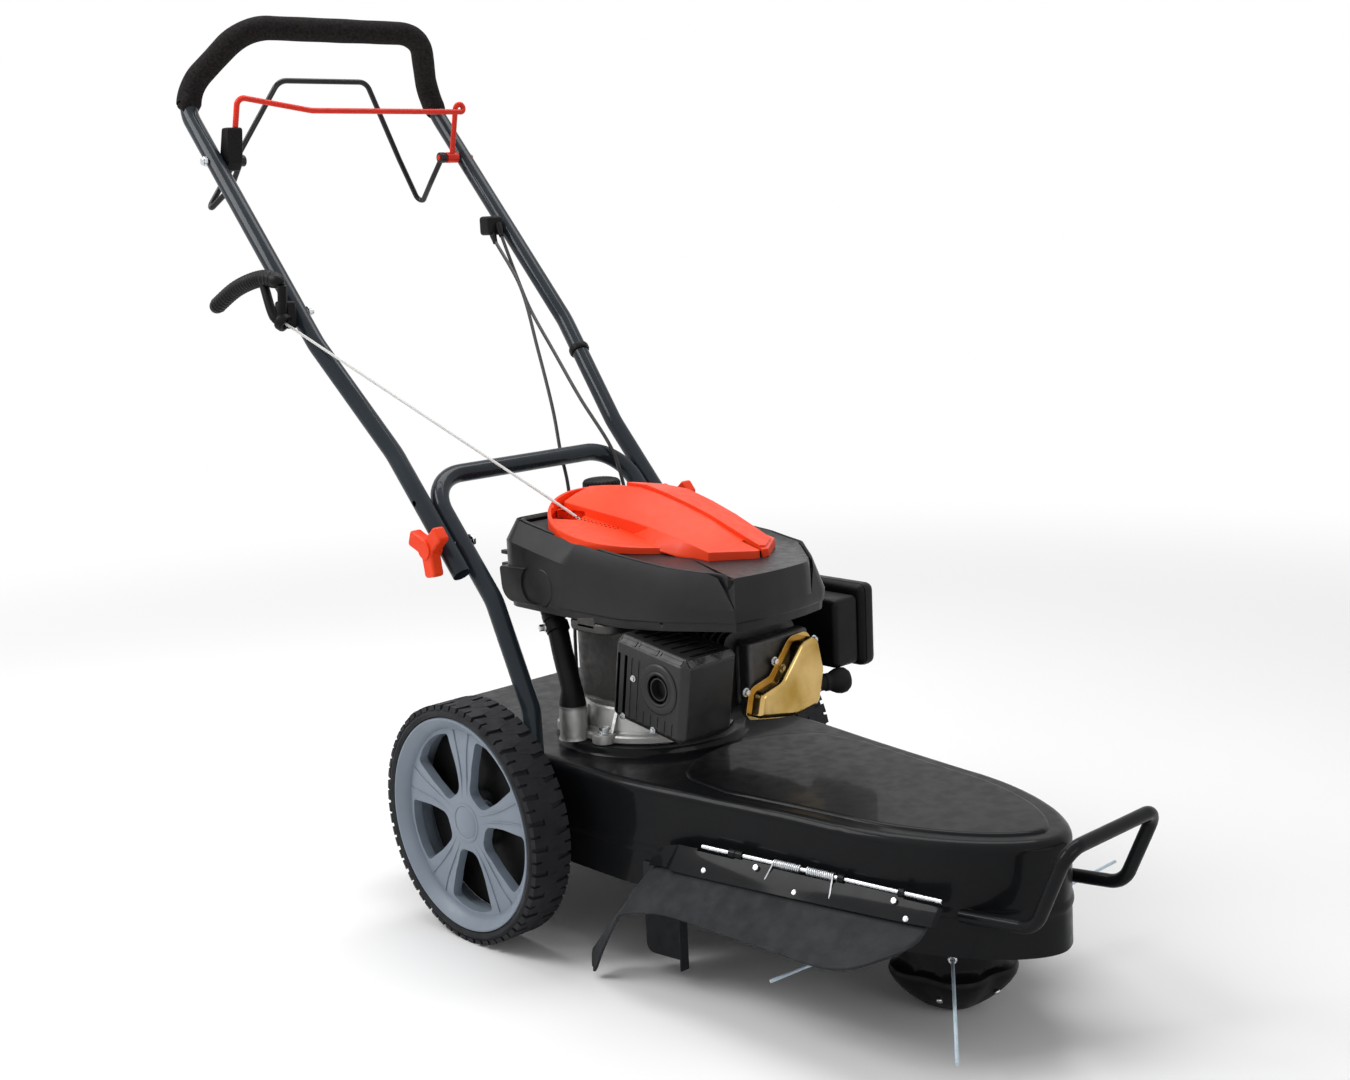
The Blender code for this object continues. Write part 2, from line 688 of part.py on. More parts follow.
def bails():
    pivot = on_handle(BAIL_S)
    tube_in = UPPER_HALF - TUBE_R - GAP
    near = -(UPPER_HALF - 0.0285)
    far = UPPER_HALF - 0.0225
    red = [
        Vector((near, pivot.y - 0.004, pivot.z + 0.012)), Vector((near, pivot.y - 0.026, pivot.z + 0.084)),
        Vector((-0.070, pivot.y - 0.030, pivot.z + 0.066)), Vector((far + 0.040, pivot.y - 0.022, pivot.z + 0.066)),
        Vector((far, pivot.y - 0.020, pivot.z + 0.080)), Vector((far, pivot.y, pivot.z - 0.004)),
    ]
    path = rounded(red, [0.010, 0.060, 0.006, 0.007], 35.0)
    pin_end = tube_in - 0.0352
    far_eye = disc(0.008, tube_in - 0.0212, tube_in, pivot, 8, "X")
    far_pin = disc(BOLT_R, pin_end, UPPER_HALF + TUBE_R + 0.004, pivot, 8, "X")
    node("red_bail", unite(tube(path, BAIL_ROD_R, 6), far_eye, far_pin), "red_rod", pivot)
    hub = slab([
        (pivot.y - 0.022, pivot.z + 0.044), (pivot.y - 0.004, pivot.z + 0.044), (pivot.y + 0.010, pivot.z - 0.002),
        (pivot.y + 0.004, pivot.z - 0.014), (pivot.y - 0.006, pivot.z - 0.014), (pivot.y - 0.015, pivot.z - 0.002),
    ], "X", -tube_in, -(tube_in - 0.0232))
    pin = disc(BOLT_R, -(UPPER_HALF + TUBE_R + 0.008), -pin_end, pivot, 8, "X")
    socket = tube([red[0] - (red[1] - red[0]).normalized() * GAP, red[1]], BAIL_ROD_R + GAP, 6)
    node("bail_hub", cut(unite(hub, pin), socket), "black_plastic", pivot)
    leg = -(tube_in - 0.0282)
    half = [
        Vector((leg, pivot.y, pivot.z)), Vector((leg, AXLE_Y + 0.560, 0.935)),
        Vector((leg - 0.015, AXLE_Y + 0.612, 0.900)), Vector((leg + 0.030, AXLE_Y + 0.597, 0.972)),
        Vector((-0.074, AXLE_Y + 0.571, 1.083)),
    ]
    path = rounded(mirrored(half), [0.02, 0.008, 0.04, 0.022, 0.022, 0.04, 0.008, 0.02], 35.0)
    eyes = [disc(0.008, *sorted((side * (pin_end + 0.002), side * (pin_end + 0.0115))), pivot, 8, "X")
            for side in (-1, 1)]
    bail = unite(tube(path, BAIL_ROD_R, 6), *eyes)
    node("black_bail", cut(bail, disc(running(BOLT_R, 8), -tube_in, tube_in, pivot, 8, "X")), "black_rod", pivot)


# Trimmer head, spindle and belts

def spindle():
    """The head on its spindle, with both lines through the drum."""
    steps = 20
    profile = [
        (0.0, 0.0), (HEAD_FLAT_R, 0.0), (0.046, 0.006), (0.056, 0.020), (0.056, FLANGE_Z - 0.006),
        (0.048, FLANGE_Z + 0.008), (DRUM_R, FLANGE_Z + 0.014), (DRUM_R, LINE_Z + 0.014),
        (0.020, LINE_Z + 0.022), (0.017, HEAD_TOP), (0.0, HEAD_TOP),
    ]
    head = turned(profile, (0.0, 0.0, 0.0), steps)
    flange = []
    for k in range(32):
        angle = 2 * math.pi * (k + (0.3 if k % 4 == 1 else -0.3 if k % 4 == 3 else 0.0)) / 32
        radius = FLANGE_R if k % 4 != 2 else FLANGE_R - 0.012
        flange.append((radius * math.cos(angle), radius * math.sin(angle)))
    head = unite(head, slab(flange, "Z", FLANGE_Z, FLANGE_Z + 0.006))
    for low, high in line_holes():
        head = cut(head, rod(low, high, LINE_R + 0.0010, 6))
    seat = LINE_Z + 0.012
    head = cut(head, disc(SPINDLE_R + GAP, seat, HEAD_TOP + 0.010, steps=12))
    node("trimmer_head", head, "black_plastic", (0.0, 0.0, 0.0))
    for name, tips, height in (("a", LINE_A_TIPS, LINE_Z - 0.004), ("b", LINE_B_TIPS, LINE_Z + 0.004)):
        start, end = (Vector((*tip, 0.0)) for tip in tips)
        across = (end - start).normalized() * (DRUM_R + 0.010)
        line = [
            start + Vector((0.0, 0.0, 0.066)), start * 0.62 - across * 0.22 + Vector((0.0, 0.0, height - 0.003)),
            -across + Vector((0.0, 0.0, height)), -across * 0.88 + Vector((0.0, 0.0, height)),
            Vector((0.0, 0.0, height)),
            across * 0.88 + Vector((0.0, 0.0, height)), across + Vector((0.0, 0.0, height)),
            end * 0.62 + across * 0.22 + Vector((0.0, 0.0, height)), end + Vector((0.0, 0.0, height + 0.006)),
        ]
        cord("trimmer_line_" + name, line, LINE_R, "nylon", 0.012)

    low, high = seat + GAP, DECK_TOP + PANEL_RISE - SHEET - 0.010
    node("spindle_shaft", disc(SPINDLE_R, low, high, steps=12), "steel")
    node("spindle_pulley", pulley(PULLEY_R, HEAD_BELT_Z, SPINDLE_R + GAP, (0.0, 0.0, 0.0)), "steel")
    top = DECK_TOP + PANEL_RISE - SHEET - GAP
    bottom = HEAD_BELT_Z + 0.012
    bore = running(SPINDLE_R, 12)
    housing = turned([
        (bore, bottom), (0.024, bottom), (0.026, bottom + 0.004), (0.026, top - 0.014), (0.036, top - 0.005),
        (0.050, top - 0.005), (0.050, top), (bore, top),
    ], (0.0, 0.0, 0.0), 12)
    node("spindle_housing", housing, "engine_casting")


def line_holes():
    for tips, height in ((LINE_A_TIPS, LINE_Z - 0.004), (LINE_B_TIPS, LINE_Z + 0.004)):
        start, end = (Vector((*tip, 0.0)) for tip in tips)
        across = (end - start).normalized() * (DRUM_R + 0.010)
        lift = Vector((0.0, 0.0, height))
        yield lift - across, lift + across


def pulley(radius, height, bore, centre):
    """A V pulley whose groove carries a belt at the given height."""
    half = BELT_HALF_WIDTH
    profile = [
        (bore, height - half - 0.004), (radius, height - half - 0.004), (radius, height - half - 0.001),
        (radius - BELT_THICK, height - half * 0.6), (radius - BELT_THICK, height + half * 0.6),
        (radius, height + half + 0.001), (radius, height + half + 0.004), (bore, height + half + 0.004),
    ]
    return turned(profile, centre, 12)


def belt(name, height, first, first_r, second, second_r):
    """A belt round two pulleys, both turning about Z, open in the middle."""
    half = BELT_HALF_WIDTH * 0.5
    path = []
    for centre, radius, start in ((first, first_r, 0.0), (second, second_r, math.pi)):
        for k in range(9):
            angle = start + math.pi * k / 8
            path.append((centre[0] + radius * math.cos(angle), centre[1] + radius * math.sin(angle)))
    inner = offset_outline(path, 0.005)
    rings = []
    for i in range(len(path)):
        a, b = path[i], inner[i]
        rings.append([(a[0], a[1], height - half), (a[0], a[1], height + half),
                      (b[0], b[1], height + half), (b[0], b[1], height - half)])
    node(name, loft(rings, capped=False), "rubber")


def drive():
    crank = (0.0, CRANK_Y, 0.0)
    low = HEAD_BELT_Z - 0.012
    shaft = disc(PTO_R, low, 0.240, crank, 12)
    shaft = unite(shaft, disc(CRANK_R, 0.239, ENGINE_TOP + 0.030, crank, 12))
    shaft = unite(shaft, disc(0.030, 0.300, 0.316, crank, 12))
    node("crankshaft", shaft, "steel", crank)
    half = BELT_HALF_WIDTH
    lower, upper = HEAD_BELT_Z, DRIVE_BELT_Z
    groove = PULLEY_R - BELT_THICK
    double = turned([
        (PTO_R + GAP, lower - half - 0.004), (PULLEY_R, lower - half - 0.004), (PULLEY_R, lower - half - 0.001),
        (groove, lower - half * 0.6), (groove, lower + half * 0.6), (PULLEY_R, lower + half + 0.001),
        (PULLEY_R, lower + half + 0.004), (0.020, lower + half + 0.006), (0.020, upper - half - 0.006),
        (PULLEY_R, upper - half - 0.004), (PULLEY_R, upper - half - 0.001), (groove, upper - half * 0.6),
        (groove, upper + half * 0.6), (PULLEY_R, upper + half + 0.001), (PULLEY_R, upper + half + 0.004),
        (PTO_R + GAP, upper + half + 0.004),
    ], crank, 12)
    node("engine_pulley", double, "steel", crank)
    input_shaft = (0.0, GEARBOX_SHAFT_Y, 0.0)
    wheel_disc = pulley(GEARBOX_PULLEY_R, DRIVE_BELT_Z, running(0.006, 12), input_shaft)
    node("gearbox_pulley", wheel_disc, "steel", input_shaft)
    run = BELT_THICK - 0.005 - GAP - 0.0008
    belt("head_belt", HEAD_BELT_Z, crank, PULLEY_R - run, (0.0, 0.0), PULLEY_R - run)
    belt("drive_belt", DRIVE_BELT_Z, input_shaft, GEARBOX_PULLEY_R - run, crank, PULLEY_R - run)
    case = block((-0.032, AXLE_Y - 0.026, WHEEL_R - 0.026), (0.032, AXLE_Y + 0.090, WHEEL_R + 0.018), 0.006)
    case = unite(case, disc(0.020, -0.055, 0.055, (0.0, AXLE_Y, WHEEL_R), 14, "X"))
    case = unite(case, disc(0.006, WHEEL_R + 0.010, DRIVE_BELT_Z + 0.016, input_shaft, 12))
    case = cut(case, disc(running(AXLE_R, 12), -0.07, 0.07, (0.0, AXLE_Y, WHEEL_R), 12, "X"))
    node("gearbox", case, "engine_casting")


# Engine

def engine_block():
    """Flange, sump, crankcase and the finned cylinder that lies forward of them, in one casting."""
    crank = (0.0, CRANK_Y, 0.0)
    body = disc(0.105, ENGINE_BASE, ENGINE_BASE + 0.010, crank, 24)
    body = unite(body, disc(0.017, ENGINE_BASE, ENGINE_BASE + 0.010, (-0.110, AXLE_Y - 0.052, 0.0), 14))
    body = unite(body, slab_round(0.092, 0.084, ENGINE_BASE + 0.009, 0.275, crank, 20))
    case = block((-0.070, CRANK_Y - 0.080, 0.262), (0.070, CRANK_Y + 0.074, ENGINE_TOP - 0.010), 0.008)
    body = unite(body, case, disc(0.045, ENGINE_TOP - 0.015, ENGINE_TOP, crank, 16))
    front = AXLE_Y - 0.292
    body = unite(body, block((-0.030, front, 0.290), (0.062, CRANK_Y - 0.070, 0.372), 0.004))
    for k in range(5):
        y = AXLE_Y - 0.178 - 0.0195 * k
        body = unite(body, block((-0.048, y - 0.0025, 0.278), (0.074, y + 0.0025, 0.384)))
    wall = 0.130 - SHROUD_WALL - GAP
    for side in (-1, 1):
        low_x, high_x = sorted((side * 0.060, side * wall))
        body = unite(body, block((low_x, AXLE_Y - 0.125, 0.345), (high_x, AXLE_Y - 0.095, 0.357)))
        low_x, high_x = sorted((side * (wall - 0.005), side * wall))
        body = unite(body, block((low_x, AXLE_Y - 0.125, 0.346), (high_x, AXLE_Y - 0.095, 0.425)))
    bore = disc(running(CRANK_R, 12), ENGINE_BASE - 0.010, ENGINE_TOP + 0.010, crank, 12)
    node("engine_block", cut(body, bore, disc(0.032, 0.297, 0.319, crank, 12)), "engine_casting")
    cover = slab([
        (0.055, 0.371), (0.026, 0.369), (-0.009, 0.329), (-0.042, 0.321), (-0.049, 0.292), (0.014, 0.281),
        (0.055, 0.288), (0.065, 0.328),
    ], "Y", AXLE_Y - 0.318, front - GAP)
    edges = [e for e in cover.edges if all(v.co.y < AXLE_Y - 0.31 for v in e.verts)]
    bmesh.ops.bevel(cover, geom=edges, offset=0.006, segments=2, affect="EDGES", profile=0.5)
    node("valve_cover", cover, "yellow_zinc")


def exhaust():
    outer = block((-0.147, AXLE_Y - 0.302, 0.270), (-0.060, AXLE_Y - 0.152, 0.388), 0.008)
    hollow = block((-0.145, AXLE_Y - 0.300, 0.272), (-0.040, AXLE_Y - 0.154, 0.386), 0.007)
    guard = cut(outer, hollow)
    for k in range(7):
        y = AXLE_Y - 0.284 + 0.018 * k
        guard = cut(guard, block((-0.160, y, 0.285), (-0.140, y + 0.009, 0.350)))
        guard = cut(guard, block((-0.130, y, 0.380), (-0.085, y + 0.009, 0.400)))
    node("muffler_guard", guard, "muffler_black")
    body = block((-0.136, AXLE_Y - 0.290, 0.282), (-0.066, AXLE_Y - 0.166, 0.374), 0.012, 2)
    pipe = rod((-0.070, AXLE_Y - 0.235, 0.325), (-0.0485, AXLE_Y - 0.235, 0.325), 0.011, 12)
    outlet = rod((-0.134, AXLE_Y - 0.250, 0.338), (-0.1445, AXLE_Y - 0.250, 0.338), 0.008, 12)
    node("muffler", unite(body, pipe, outlet), "engine_casting")


def intake():
    base = block((0.104, AXLE_Y - 0.300, 0.316), (0.148, AXLE_Y - 0.210, 0.402), 0.006)
    pipe = rod((0.0745, AXLE_Y - 0.240, 0.345), (0.110, AXLE_Y - 0.240, 0.345), 0.014, 12)
    node("air_filter_base", unite(base, pipe), "black_plastic")
    cover = block((0.148 + GAP, AXLE_Y - 0.304, 0.310), (0.176, AXLE_Y - 0.206, 0.414), 0.010, 2)
    node("air_filter_cover", cover, "black_plastic")


def fuel_and_oil():
    """Tank behind the shroud on its bracket, ribbed cap, filler tube and dipstick."""
    tank = block((-0.030, AXLE_Y + 0.064, 0.395), (0.118, AXLE_Y + 0.124, 0.486), 0.010)
    rear_face = CRANK_Y + 0.074 + GAP
    tank = unite(tank, block((-0.010, rear_face, 0.374), (0.060, AXLE_Y + 0.084, 0.400)))
    neck = (0.080, AXLE_Y + 0.092, 0.0)
    tank = unite(tank, disc(0.018, 0.480, 0.498, neck, 14))
    node("fuel_tank", tank, "black_plastic")
    ribs = []
    for k in range(32):
        radius = 0.026 if k % 2 else 0.0242
        angle = 2 * math.pi * k / 32
        ribs.append((neck[0] + radius * math.cos(angle), neck[1] + radius * math.sin(angle)))
    cap = slab(ribs, "Z", 0.488, 0.511)
    node("fuel_cap", cut(cap, disc(running(0.018, 14), 0.480, 0.498 + GAP, neck, 14)), "black_plastic", neck)
    foot = Vector((-0.112, AXLE_Y - 0.052, ENGINE_BASE + 0.010 + GAP))
    path = rounded([foot, foot + Vector((0.0, 0.0, 0.040)), Vector((-0.100, AXLE_Y - 0.020, 0.366)),
                    Vector((-0.096, AXLE_Y - 0.006, 0.386))], [0.03, 0.03], 25.0)
    end = path[-1]
    along = (end - path[-2]).normalized()
    filler = cut(tube(path, 0.013, 8), rod(end - along * 0.016, end + along * 0.01, running(0.006, 8), 8))
    node("oil_filler", filler, "black_plastic")
    knob_end = unite(rod(end + along * GAP, end + along * 0.012, 0.015, 14),
                     rod(end - along * 0.0155, end + along * 0.002, 0.006, 8))
    node("dipstick", knob_end, "black_plastic", end)


def spark_plug():
    root = Vector((0.062 + GAP, AXLE_Y - 0.281, 0.301))
    plug = rod(root, root + Vector((0.012, 0.0, 0.0)), 0.009, 6)
    ahead = Vector((0.92, -0.39, 0.0)).normalized()
    neck = root + Vector((0.010, 0.0, 0.0))
    plug = unite(plug, rod(neck, neck + ahead * 0.030, 0.005, 10))
    node("spark_plug", plug, "steel")
    mouth = neck + ahead * 0.010
    boot = rod(mouth, mouth + ahead * 0.040, 0.010, 12)
    boot = cut(boot, rod(mouth - ahead * 0.01, neck + ahead * (0.030 + GAP), 0.005 + GAP, 10))
    node("plug_boot", boot, "rubber", mouth)


def engine_covers():
    crank = (0.0, CRANK_Y, 0.0)
    outer = loft([list(shroud_ring(0.0, share)) for share in (0, 1, 2)])
    hollow = loft([list(shroud_ring(SHROUD_WALL, share)) for share in (0, 1, 2)])
    hollow = cut(hollow, cover_pocket(SHROUD_WALL))
    shell = cut(outer, hollow)
    shell = cut(shell, cover_pocket(0.0), disc(COVER_R - 0.012, 0.44, 0.55, crank, 20))
    node("engine_shroud", shell, "shroud_grey")
    cover = cut(loft(cover_rings(0.0)), loft(cover_rings(SHROUD_WALL)))
    ahead = (ROPE_EYE - ROPE_SLOT).normalized()
    cover = cut(cover, rod(ROPE_SLOT - ahead * 0.020, ROPE_SLOT + ahead * 0.060, 0.010, 8))
    cover = unite(cover, disc(0.0115, 0.466, 0.5405, crank, 12))
    node("starter_cover", cover, "red_plastic")
    fan = turned([
        (CRANK_R + GAP, 0.404), (0.100, 0.404), (0.100, 0.418), (0.060, 0.420), (0.030, 0.440),
        (CRANK_R + GAP, 0.444),
    ], crank, 20)
    blades = 8
    for k in range(blades):
        blade = block((0.062, -0.0015, 0.4165), (0.096, 0.0015, 0.440))
        spin_about(blade, 2 * math.pi * k / blades, (0.0, 0.0, 0.0), "Z")
        bmesh.ops.translate(blade, verts=blade.verts, vec=crank)
        fan = unite(fan, blade)
    node("flywheel", fan, "engine_casting", crank)
    eye = running(0.0115, 12)
    reel = turned([
        (eye, 0.468), (0.050, 0.468), (0.050, 0.471), (0.040, 0.473), (0.040, 0.485), (0.050, 0.487),
        (0.050, 0.490), (eye, 0.490),
    ], crank, 12)
    node("starter_reel", reel, "black_plastic", crank)


def shroud_outline(inset):
    """The shroud seen from above: square behind, round in front."""
    half = [
        (0.070, AXLE_Y + 0.058), (0.118, AXLE_Y + 0.050), (0.130, AXLE_Y + 0.020), (0.130, AXLE_Y - 0.140),
        (0.128, AXLE_Y - 0.240), (0.116, AXLE_Y - 0.305), (0.084, AXLE_Y - 0.335), (0.040, AXLE_Y - 0.346),
    ]
    outline = [(-x, y) for x, y in half] + [(x, y) for x, y in reversed(half)]
    return offset_outline(outline, inset)


def shroud_ring(wall, share):
    """Three levels: the bottom edge, the lower and the upper line of the bevelled band."""
    bevel = 0.012 if share == 2 else 0.0
    for x, y in shroud_outline(wall + bevel):
        back = max(0.0, min(1.0, (y - (AXLE_Y - 0.33)) / 0.36))
        lower = 0.438 + 0.030 * back
        upper = 0.474 + 0.030 * back ** 2
        height = (0.405 - (0.010 if wall else 0.0), lower, upper - wall)[share]
        yield x, y, height


def cover_outline(inset):
    """The starter cover seen from above: round, with a tongue forward."""
    rim = []
    for k in range(22):
        angle = 2 * math.pi * k / 22
        x, y = COVER_R * math.sin(angle), -COVER_R * math.cos(angle)
        if abs(x) < 0.055 and y < 0:
            y = -0.196 + abs(x) * 0.35
        rim.append((x, CRANK_Y + y))
    return offset_outline(rim, inset)


def cover_pocket(wall):
    """The dip in the shroud that the starter cover sits in, or the form under it."""
    return slab(cover_outline(-0.0005 - wall), "Z", SHROUD_FLOOR - wall, 0.560)


def cover_rings(wall):
    """The starter cover's levels: an upright rim, then a dome drawn up to a low ridge."""
    rings = []
    for scale, height, drift in ((1.0, SHROUD_FLOOR + GAP, 0.0), (1.0, 0.484, 0.0), (0.93, 0.498, 0.0),
                                 (0.66, 0.524, 0.004), (0.30, 0.542, 0.010)):
        drop = wall if height > 0.49 else 0.0
        if wall and scale == 1.0 and height < 0.48:
            drop = 0.010
        rings.append([(x * scale, CRANK_Y + (y - CRANK_Y) * scale + drift, height - drop)
                      for x, y in cover_outline(wall)])
    return rings


# Side guards

def along_rod(share):
    """A point on the hinge rod, 0 at its rear end and 1 at its front end."""
    return ROD_BACK.lerp(ROD_FRONT, share)


def sheet(stations, thickness):
    """A plate through top, middle and low points at each station along it."""
    rings = []
    points = [(Vector(t), Vector(m), Vector(l)) for t, m, l in stations]
    for i, (top, middle, low) in enumerate(points):
        ahead = points[min(i + 1, len(points) - 1)][1] - points[max(i - 1, 0)][1]
        upper = ahead.cross(middle - top).normalized() * thickness
        lower = ahead.cross(low - middle).normalized() * thickness
        mean = (upper + lower).normalized() * abs(thickness)
        rings.append([top, middle, low, low + lower, middle + mean, top + upper])
    plate = loft(rings)
    bmesh.ops.triangulate(plate, faces=plate.faces)
    return plate


def flap_stations():
    """Top, middle and low points of the rubber flap, from its tail to its front end, x from the hinge rod."""
    rows = [
        ((-0.0490, -0.190, 0.0360), (-0.0610, -0.191, 0.0260), (-0.0730, -0.192, 0.0120)),
        ((-0.0380, -0.214, 0.0720), (-0.0560, -0.212, 0.0600), (-0.0710, -0.210, 0.0440)),
        ((-0.0230, -0.238, 0.1060), (-0.0460, -0.237, 0.0940), (-0.0690, -0.236, 0.0750)),
        ((-0.0090, -0.256, 0.1320), (-0.0310, -0.256, 0.1180), (-0.0650, -0.256, 0.0900)),
        ((-0.0090, -0.285, 0.1440), (-0.0165, -0.285, 0.1355), (-0.0600, -0.285, 0.0990)),
        ((-0.0100, -0.331, 0.1465), (-0.0165, -0.331, 0.1380), (-0.0540, -0.331, 0.1050)),
        ((0.0125, -0.470, 0.1490), (0.0063, -0.470, 0.1399), (-0.0510, -0.470, 0.1060)),
        ((0.0274, -0.560, 0.1503), (0.0212, -0.560, 0.1412), (-0.0470, -0.562, 0.1090)),
        ((0.0361, -0.612, 0.1510), (0.0299, -0.612, 0.1419), (-0.0210, -0.611, 0.1290)),
        ((0.0374, -0.620, 0.1511), (0.0312, -0.620, 0.1420), (0.0140, -0.620, 0.1370)),
    ]
    return [[(ROD_BACK.x + x, AXLE_Y + y, z) for x, y, z in row] for row in rows]


def side_guards():
    axis = (ROD_FRONT - ROD_BACK).normalized()
    node("side_flap", sheet(flap_stations(), -0.003), "rubber", ROD_BACK)
    rows = [
        ((-0.0080, -0.262, 0.158), (-0.0110, -0.258, 0.150), (-0.0150, -0.254, 0.136)),
        ((-0.0050, -0.290, 0.166), (-0.0100, -0.288, 0.156), (-0.0180, -0.285, 0.142)),
        ((-0.0010, -0.331, 0.1685), (-0.0080, -0.331, 0.157), (-0.0180, -0.331, 0.1425)),
        ((0.0436, -0.605, 0.1666), (0.0366, -0.605, 0.158), (0.0275, -0.605, 0.1463)),
    ]
    strip = sheet([[(ROD_BACK.x + x, AXLE_Y + y, z) for x, y, z in row] for row in rows], -0.002)
    for start, end in BARRELS:
        strip = unite(strip, rod(along_rod(start), along_rod(end), KNUCKLE_R, 8))
    strip = cut(strip, rod(ROD_BACK - axis * 0.1, ROD_FRONT + axis * 0.1, running(HINGE_ROD_R, 8), 8))
    for start, end in ((-0.006, 0.056), (SPRINGS[0][1] - 0.012, SPRINGS[1][1] + 0.055)):
        strip = cut(strip, rod(along_rod(start), along_rod(end), 0.0080, 9))
    node("flap_strip", strip, "black_gloss", ROD_BACK)
    node("flap_hinge_rod", rod(ROD_BACK - axis * 0.004, ROD_FRONT + axis * 0.004, HINGE_ROD_R, 8), "steel")
    for name, share in SPRINGS:
        node("flap_spring_" + name, torsion_spring(along_rod(share), axis), "steel", ROD_BACK)
    left_shield()
    near = [(-offset_x(AXLE_Y + y) - GAP, AXLE_Y + y) for y in (-0.238, -0.290)]
    plate = slab(near + [(x - 0.003, y) for x, y in reversed(near)], "Z", 0.016, 0.132)
    node("rear_flap", plate, "rubber")


def torsion_spring(base, axis):
    """Four turns of wire round the hinge rod."""
    per_turn = 8
    reach = (HINGE_ROD_R + SPRING_WIRE_R + GAP) / math.cos(math.pi / per_turn)
    side = axis.orthogonal().normalized()
    up = axis.cross(side)
    coil = []
    for k in range(4 * per_turn + 1):
        angle = 2 * math.pi * k / per_turn
        coil.append(base + axis * (0.0030 * k / per_turn) + (side * math.cos(angle) + up * math.sin(angle)) * reach)
    return tube(coil, SPRING_WIRE_R, 4)


def left_shield():
    """The fixed shield on the left: a band against the skirt that flares outwards below."""
    low_points = ((0.059, 0.060), (0.048, 0.104), (0.043, 0.107), (0.038, 0.110), (0.015, 0.122), (-0.015, 0.130))
    side = [(x, y) for x, y in deck_outline(-GAP) if x > 0.0 and AXLE_Y - 0.595 < y < AXLE_Y - 0.210]
    side.sort(key=lambda p: -p[1])
    rows = []
    for (x, y), (flare, low_z) in zip(side, low_points):
        rows.append([(x, y, 0.165), (x, y, 0.140), (DECK_HALF + flare, y, low_z)])
    node("left_shield", sheet(rows, 0.003), "black_plastic")


# Controls on the upper handle

def swept(path, radii, sides):
    """A round bar whose radius changes along its path."""
    rings = []
    for (point, side, up), radius in zip(frames(path), radii):
        rings.append([
            point + (side * math.cos(2 * math.pi * k / sides) + up * math.sin(2 * math.pi * k / sides)) * radius
            for k in range(sides)
        ])
    return loft(rings)


def starting_gear():
    """Rope guide on the right tube, the ribbed grip in it, and the rope."""
    clamp = on_handle(CLAMP_S)
    pull = (ROPE_EYE - ROPE_SLOT).normalized()
    tube_side = -(UPPER_HALF + TUBE_R + GAP)
    eye = tube([ROPE_EYE - pull * 0.004, ROPE_EYE + pull * 0.004], 0.012, 12)
    low = on_handle(GUIDE_S - 0.026, tube_side - 0.015)
    high = on_handle(GUIDE_S + 0.022, tube_side)
    stud = disc(BOLT_R, -(UPPER_HALF - TUBE_R - 0.010) - 0.040, -(UPPER_HALF - TUBE_R - 0.010),
                on_handle(GUIDE_S), 8, "X")
    guide = unite(block(tuple(low), tuple(high), 0.002), eye, stud)
    guide = cut(guide, rod(ROPE_EYE - pull * 0.05, ROPE_EYE + pull * 0.05, 0.0055, 12))
    node("rope_guide", guide, "black_plastic", clamp)
    x = ROPE_EYE.x
    bar = smooth([(x - 0.0010, AXLE_Y + 0.322, 0.8066), (x - 0.0035, AXLE_Y + 0.364, 0.8126),
                  (x - 0.0045, AXLE_Y + 0.430, 0.7996), (x - 0.0065, AXLE_Y + 0.495, 0.7716)], 0.0155)
    radii = [0.0105 + (0.0012 if i % 2 else 0.0) for i in range(len(bar))]
    radii[0] = radii[-1] = 0.006
    stem = [ROPE_EYE + pull * 0.002, ROPE_EYE + pull * 0.016, Vector((x - 0.0035, AXLE_Y + 0.364, 0.8066))]
    grip = unite(swept(bar, radii, 8), tube(stem, 0.005, 8))
    grip = cut(grip, rod(ROPE_EYE - pull * 0.01, ROPE_EYE + pull * 0.012, ROPE_R + GAP, 8))
    node("starter_grip", grip, "black_plastic")
    inner = ROPE_SLOT - pull * 0.018 + Vector((0.0, 0.0, -0.006))
    cord("starter_rope", [inner, ROPE_SLOT, ROPE_SLOT.lerp(ROPE_EYE, 0.5), ROPE_EYE + pull * 0.011],
         ROPE_R, "rope", 0.0105)


def cables():
    """Both cables, and the moulded bracket on the left tube that holds their ends."""
    seat = on_handle(0.457, UPPER_HALF - TUBE_R - GAP)
    bracket = block((seat.x - 0.028, seat.y - 0.014, seat.z - 0.016), (seat.x, seat.y + 0.012, seat.z + 0.012), 0.004)
    for name, route in (("drive_cable", DRIVE_ROUTE), ("brake_cable", BRAKE_ROUTE)):
        points = [Vector((x, AXLE_Y + y, z)) for x, y, z in route]
        cord(name, points, CABLE_R, "cable_black", 0.015)
        path = smooth(points, 0.015)[:5]
        path.insert(0, path[0] + (path[0] - path[1]) * 2)
        bracket = cut(bracket, tube(path, CABLE_R + 0.0008, 8))
    node("cable_bracket", bracket, "black_plastic", on_handle(CLAMP_S))


def main():
    for obj in list(bpy.data.objects):
        bpy.data.objects.remove(obj)
    add_finishes()
    wheels()
    deck()
    front_guard()
    spindle()
    drive()
    engine_block()
    exhaust()
    intake()
    fuel_and_oil()
    spark_plug()
    engine_covers()
    side_guards()
    handle()
    bails()
    starting_gear()
    cables()


main()
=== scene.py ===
# %% [markdown]
# # A petrol wheeled string trimmer
#
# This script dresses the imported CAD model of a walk-behind trimmer: a narrow pressed deck on two tall
# wheels, a small upright-shaft engine, and a nylon-line head under the nose instead of a blade.
# The CAD model is the frame. It says where everything is and what moves with what, and it never changes
# here. Each cell adds one finish or one piece, in metres, in the same frame: +Z up, front towards -Y.

# %% Load the frame
from math import ceil, cos, degrees, pi, radians, sin, sqrt, tan

import bmesh
import bpy
from mathutils import Matrix, Vector


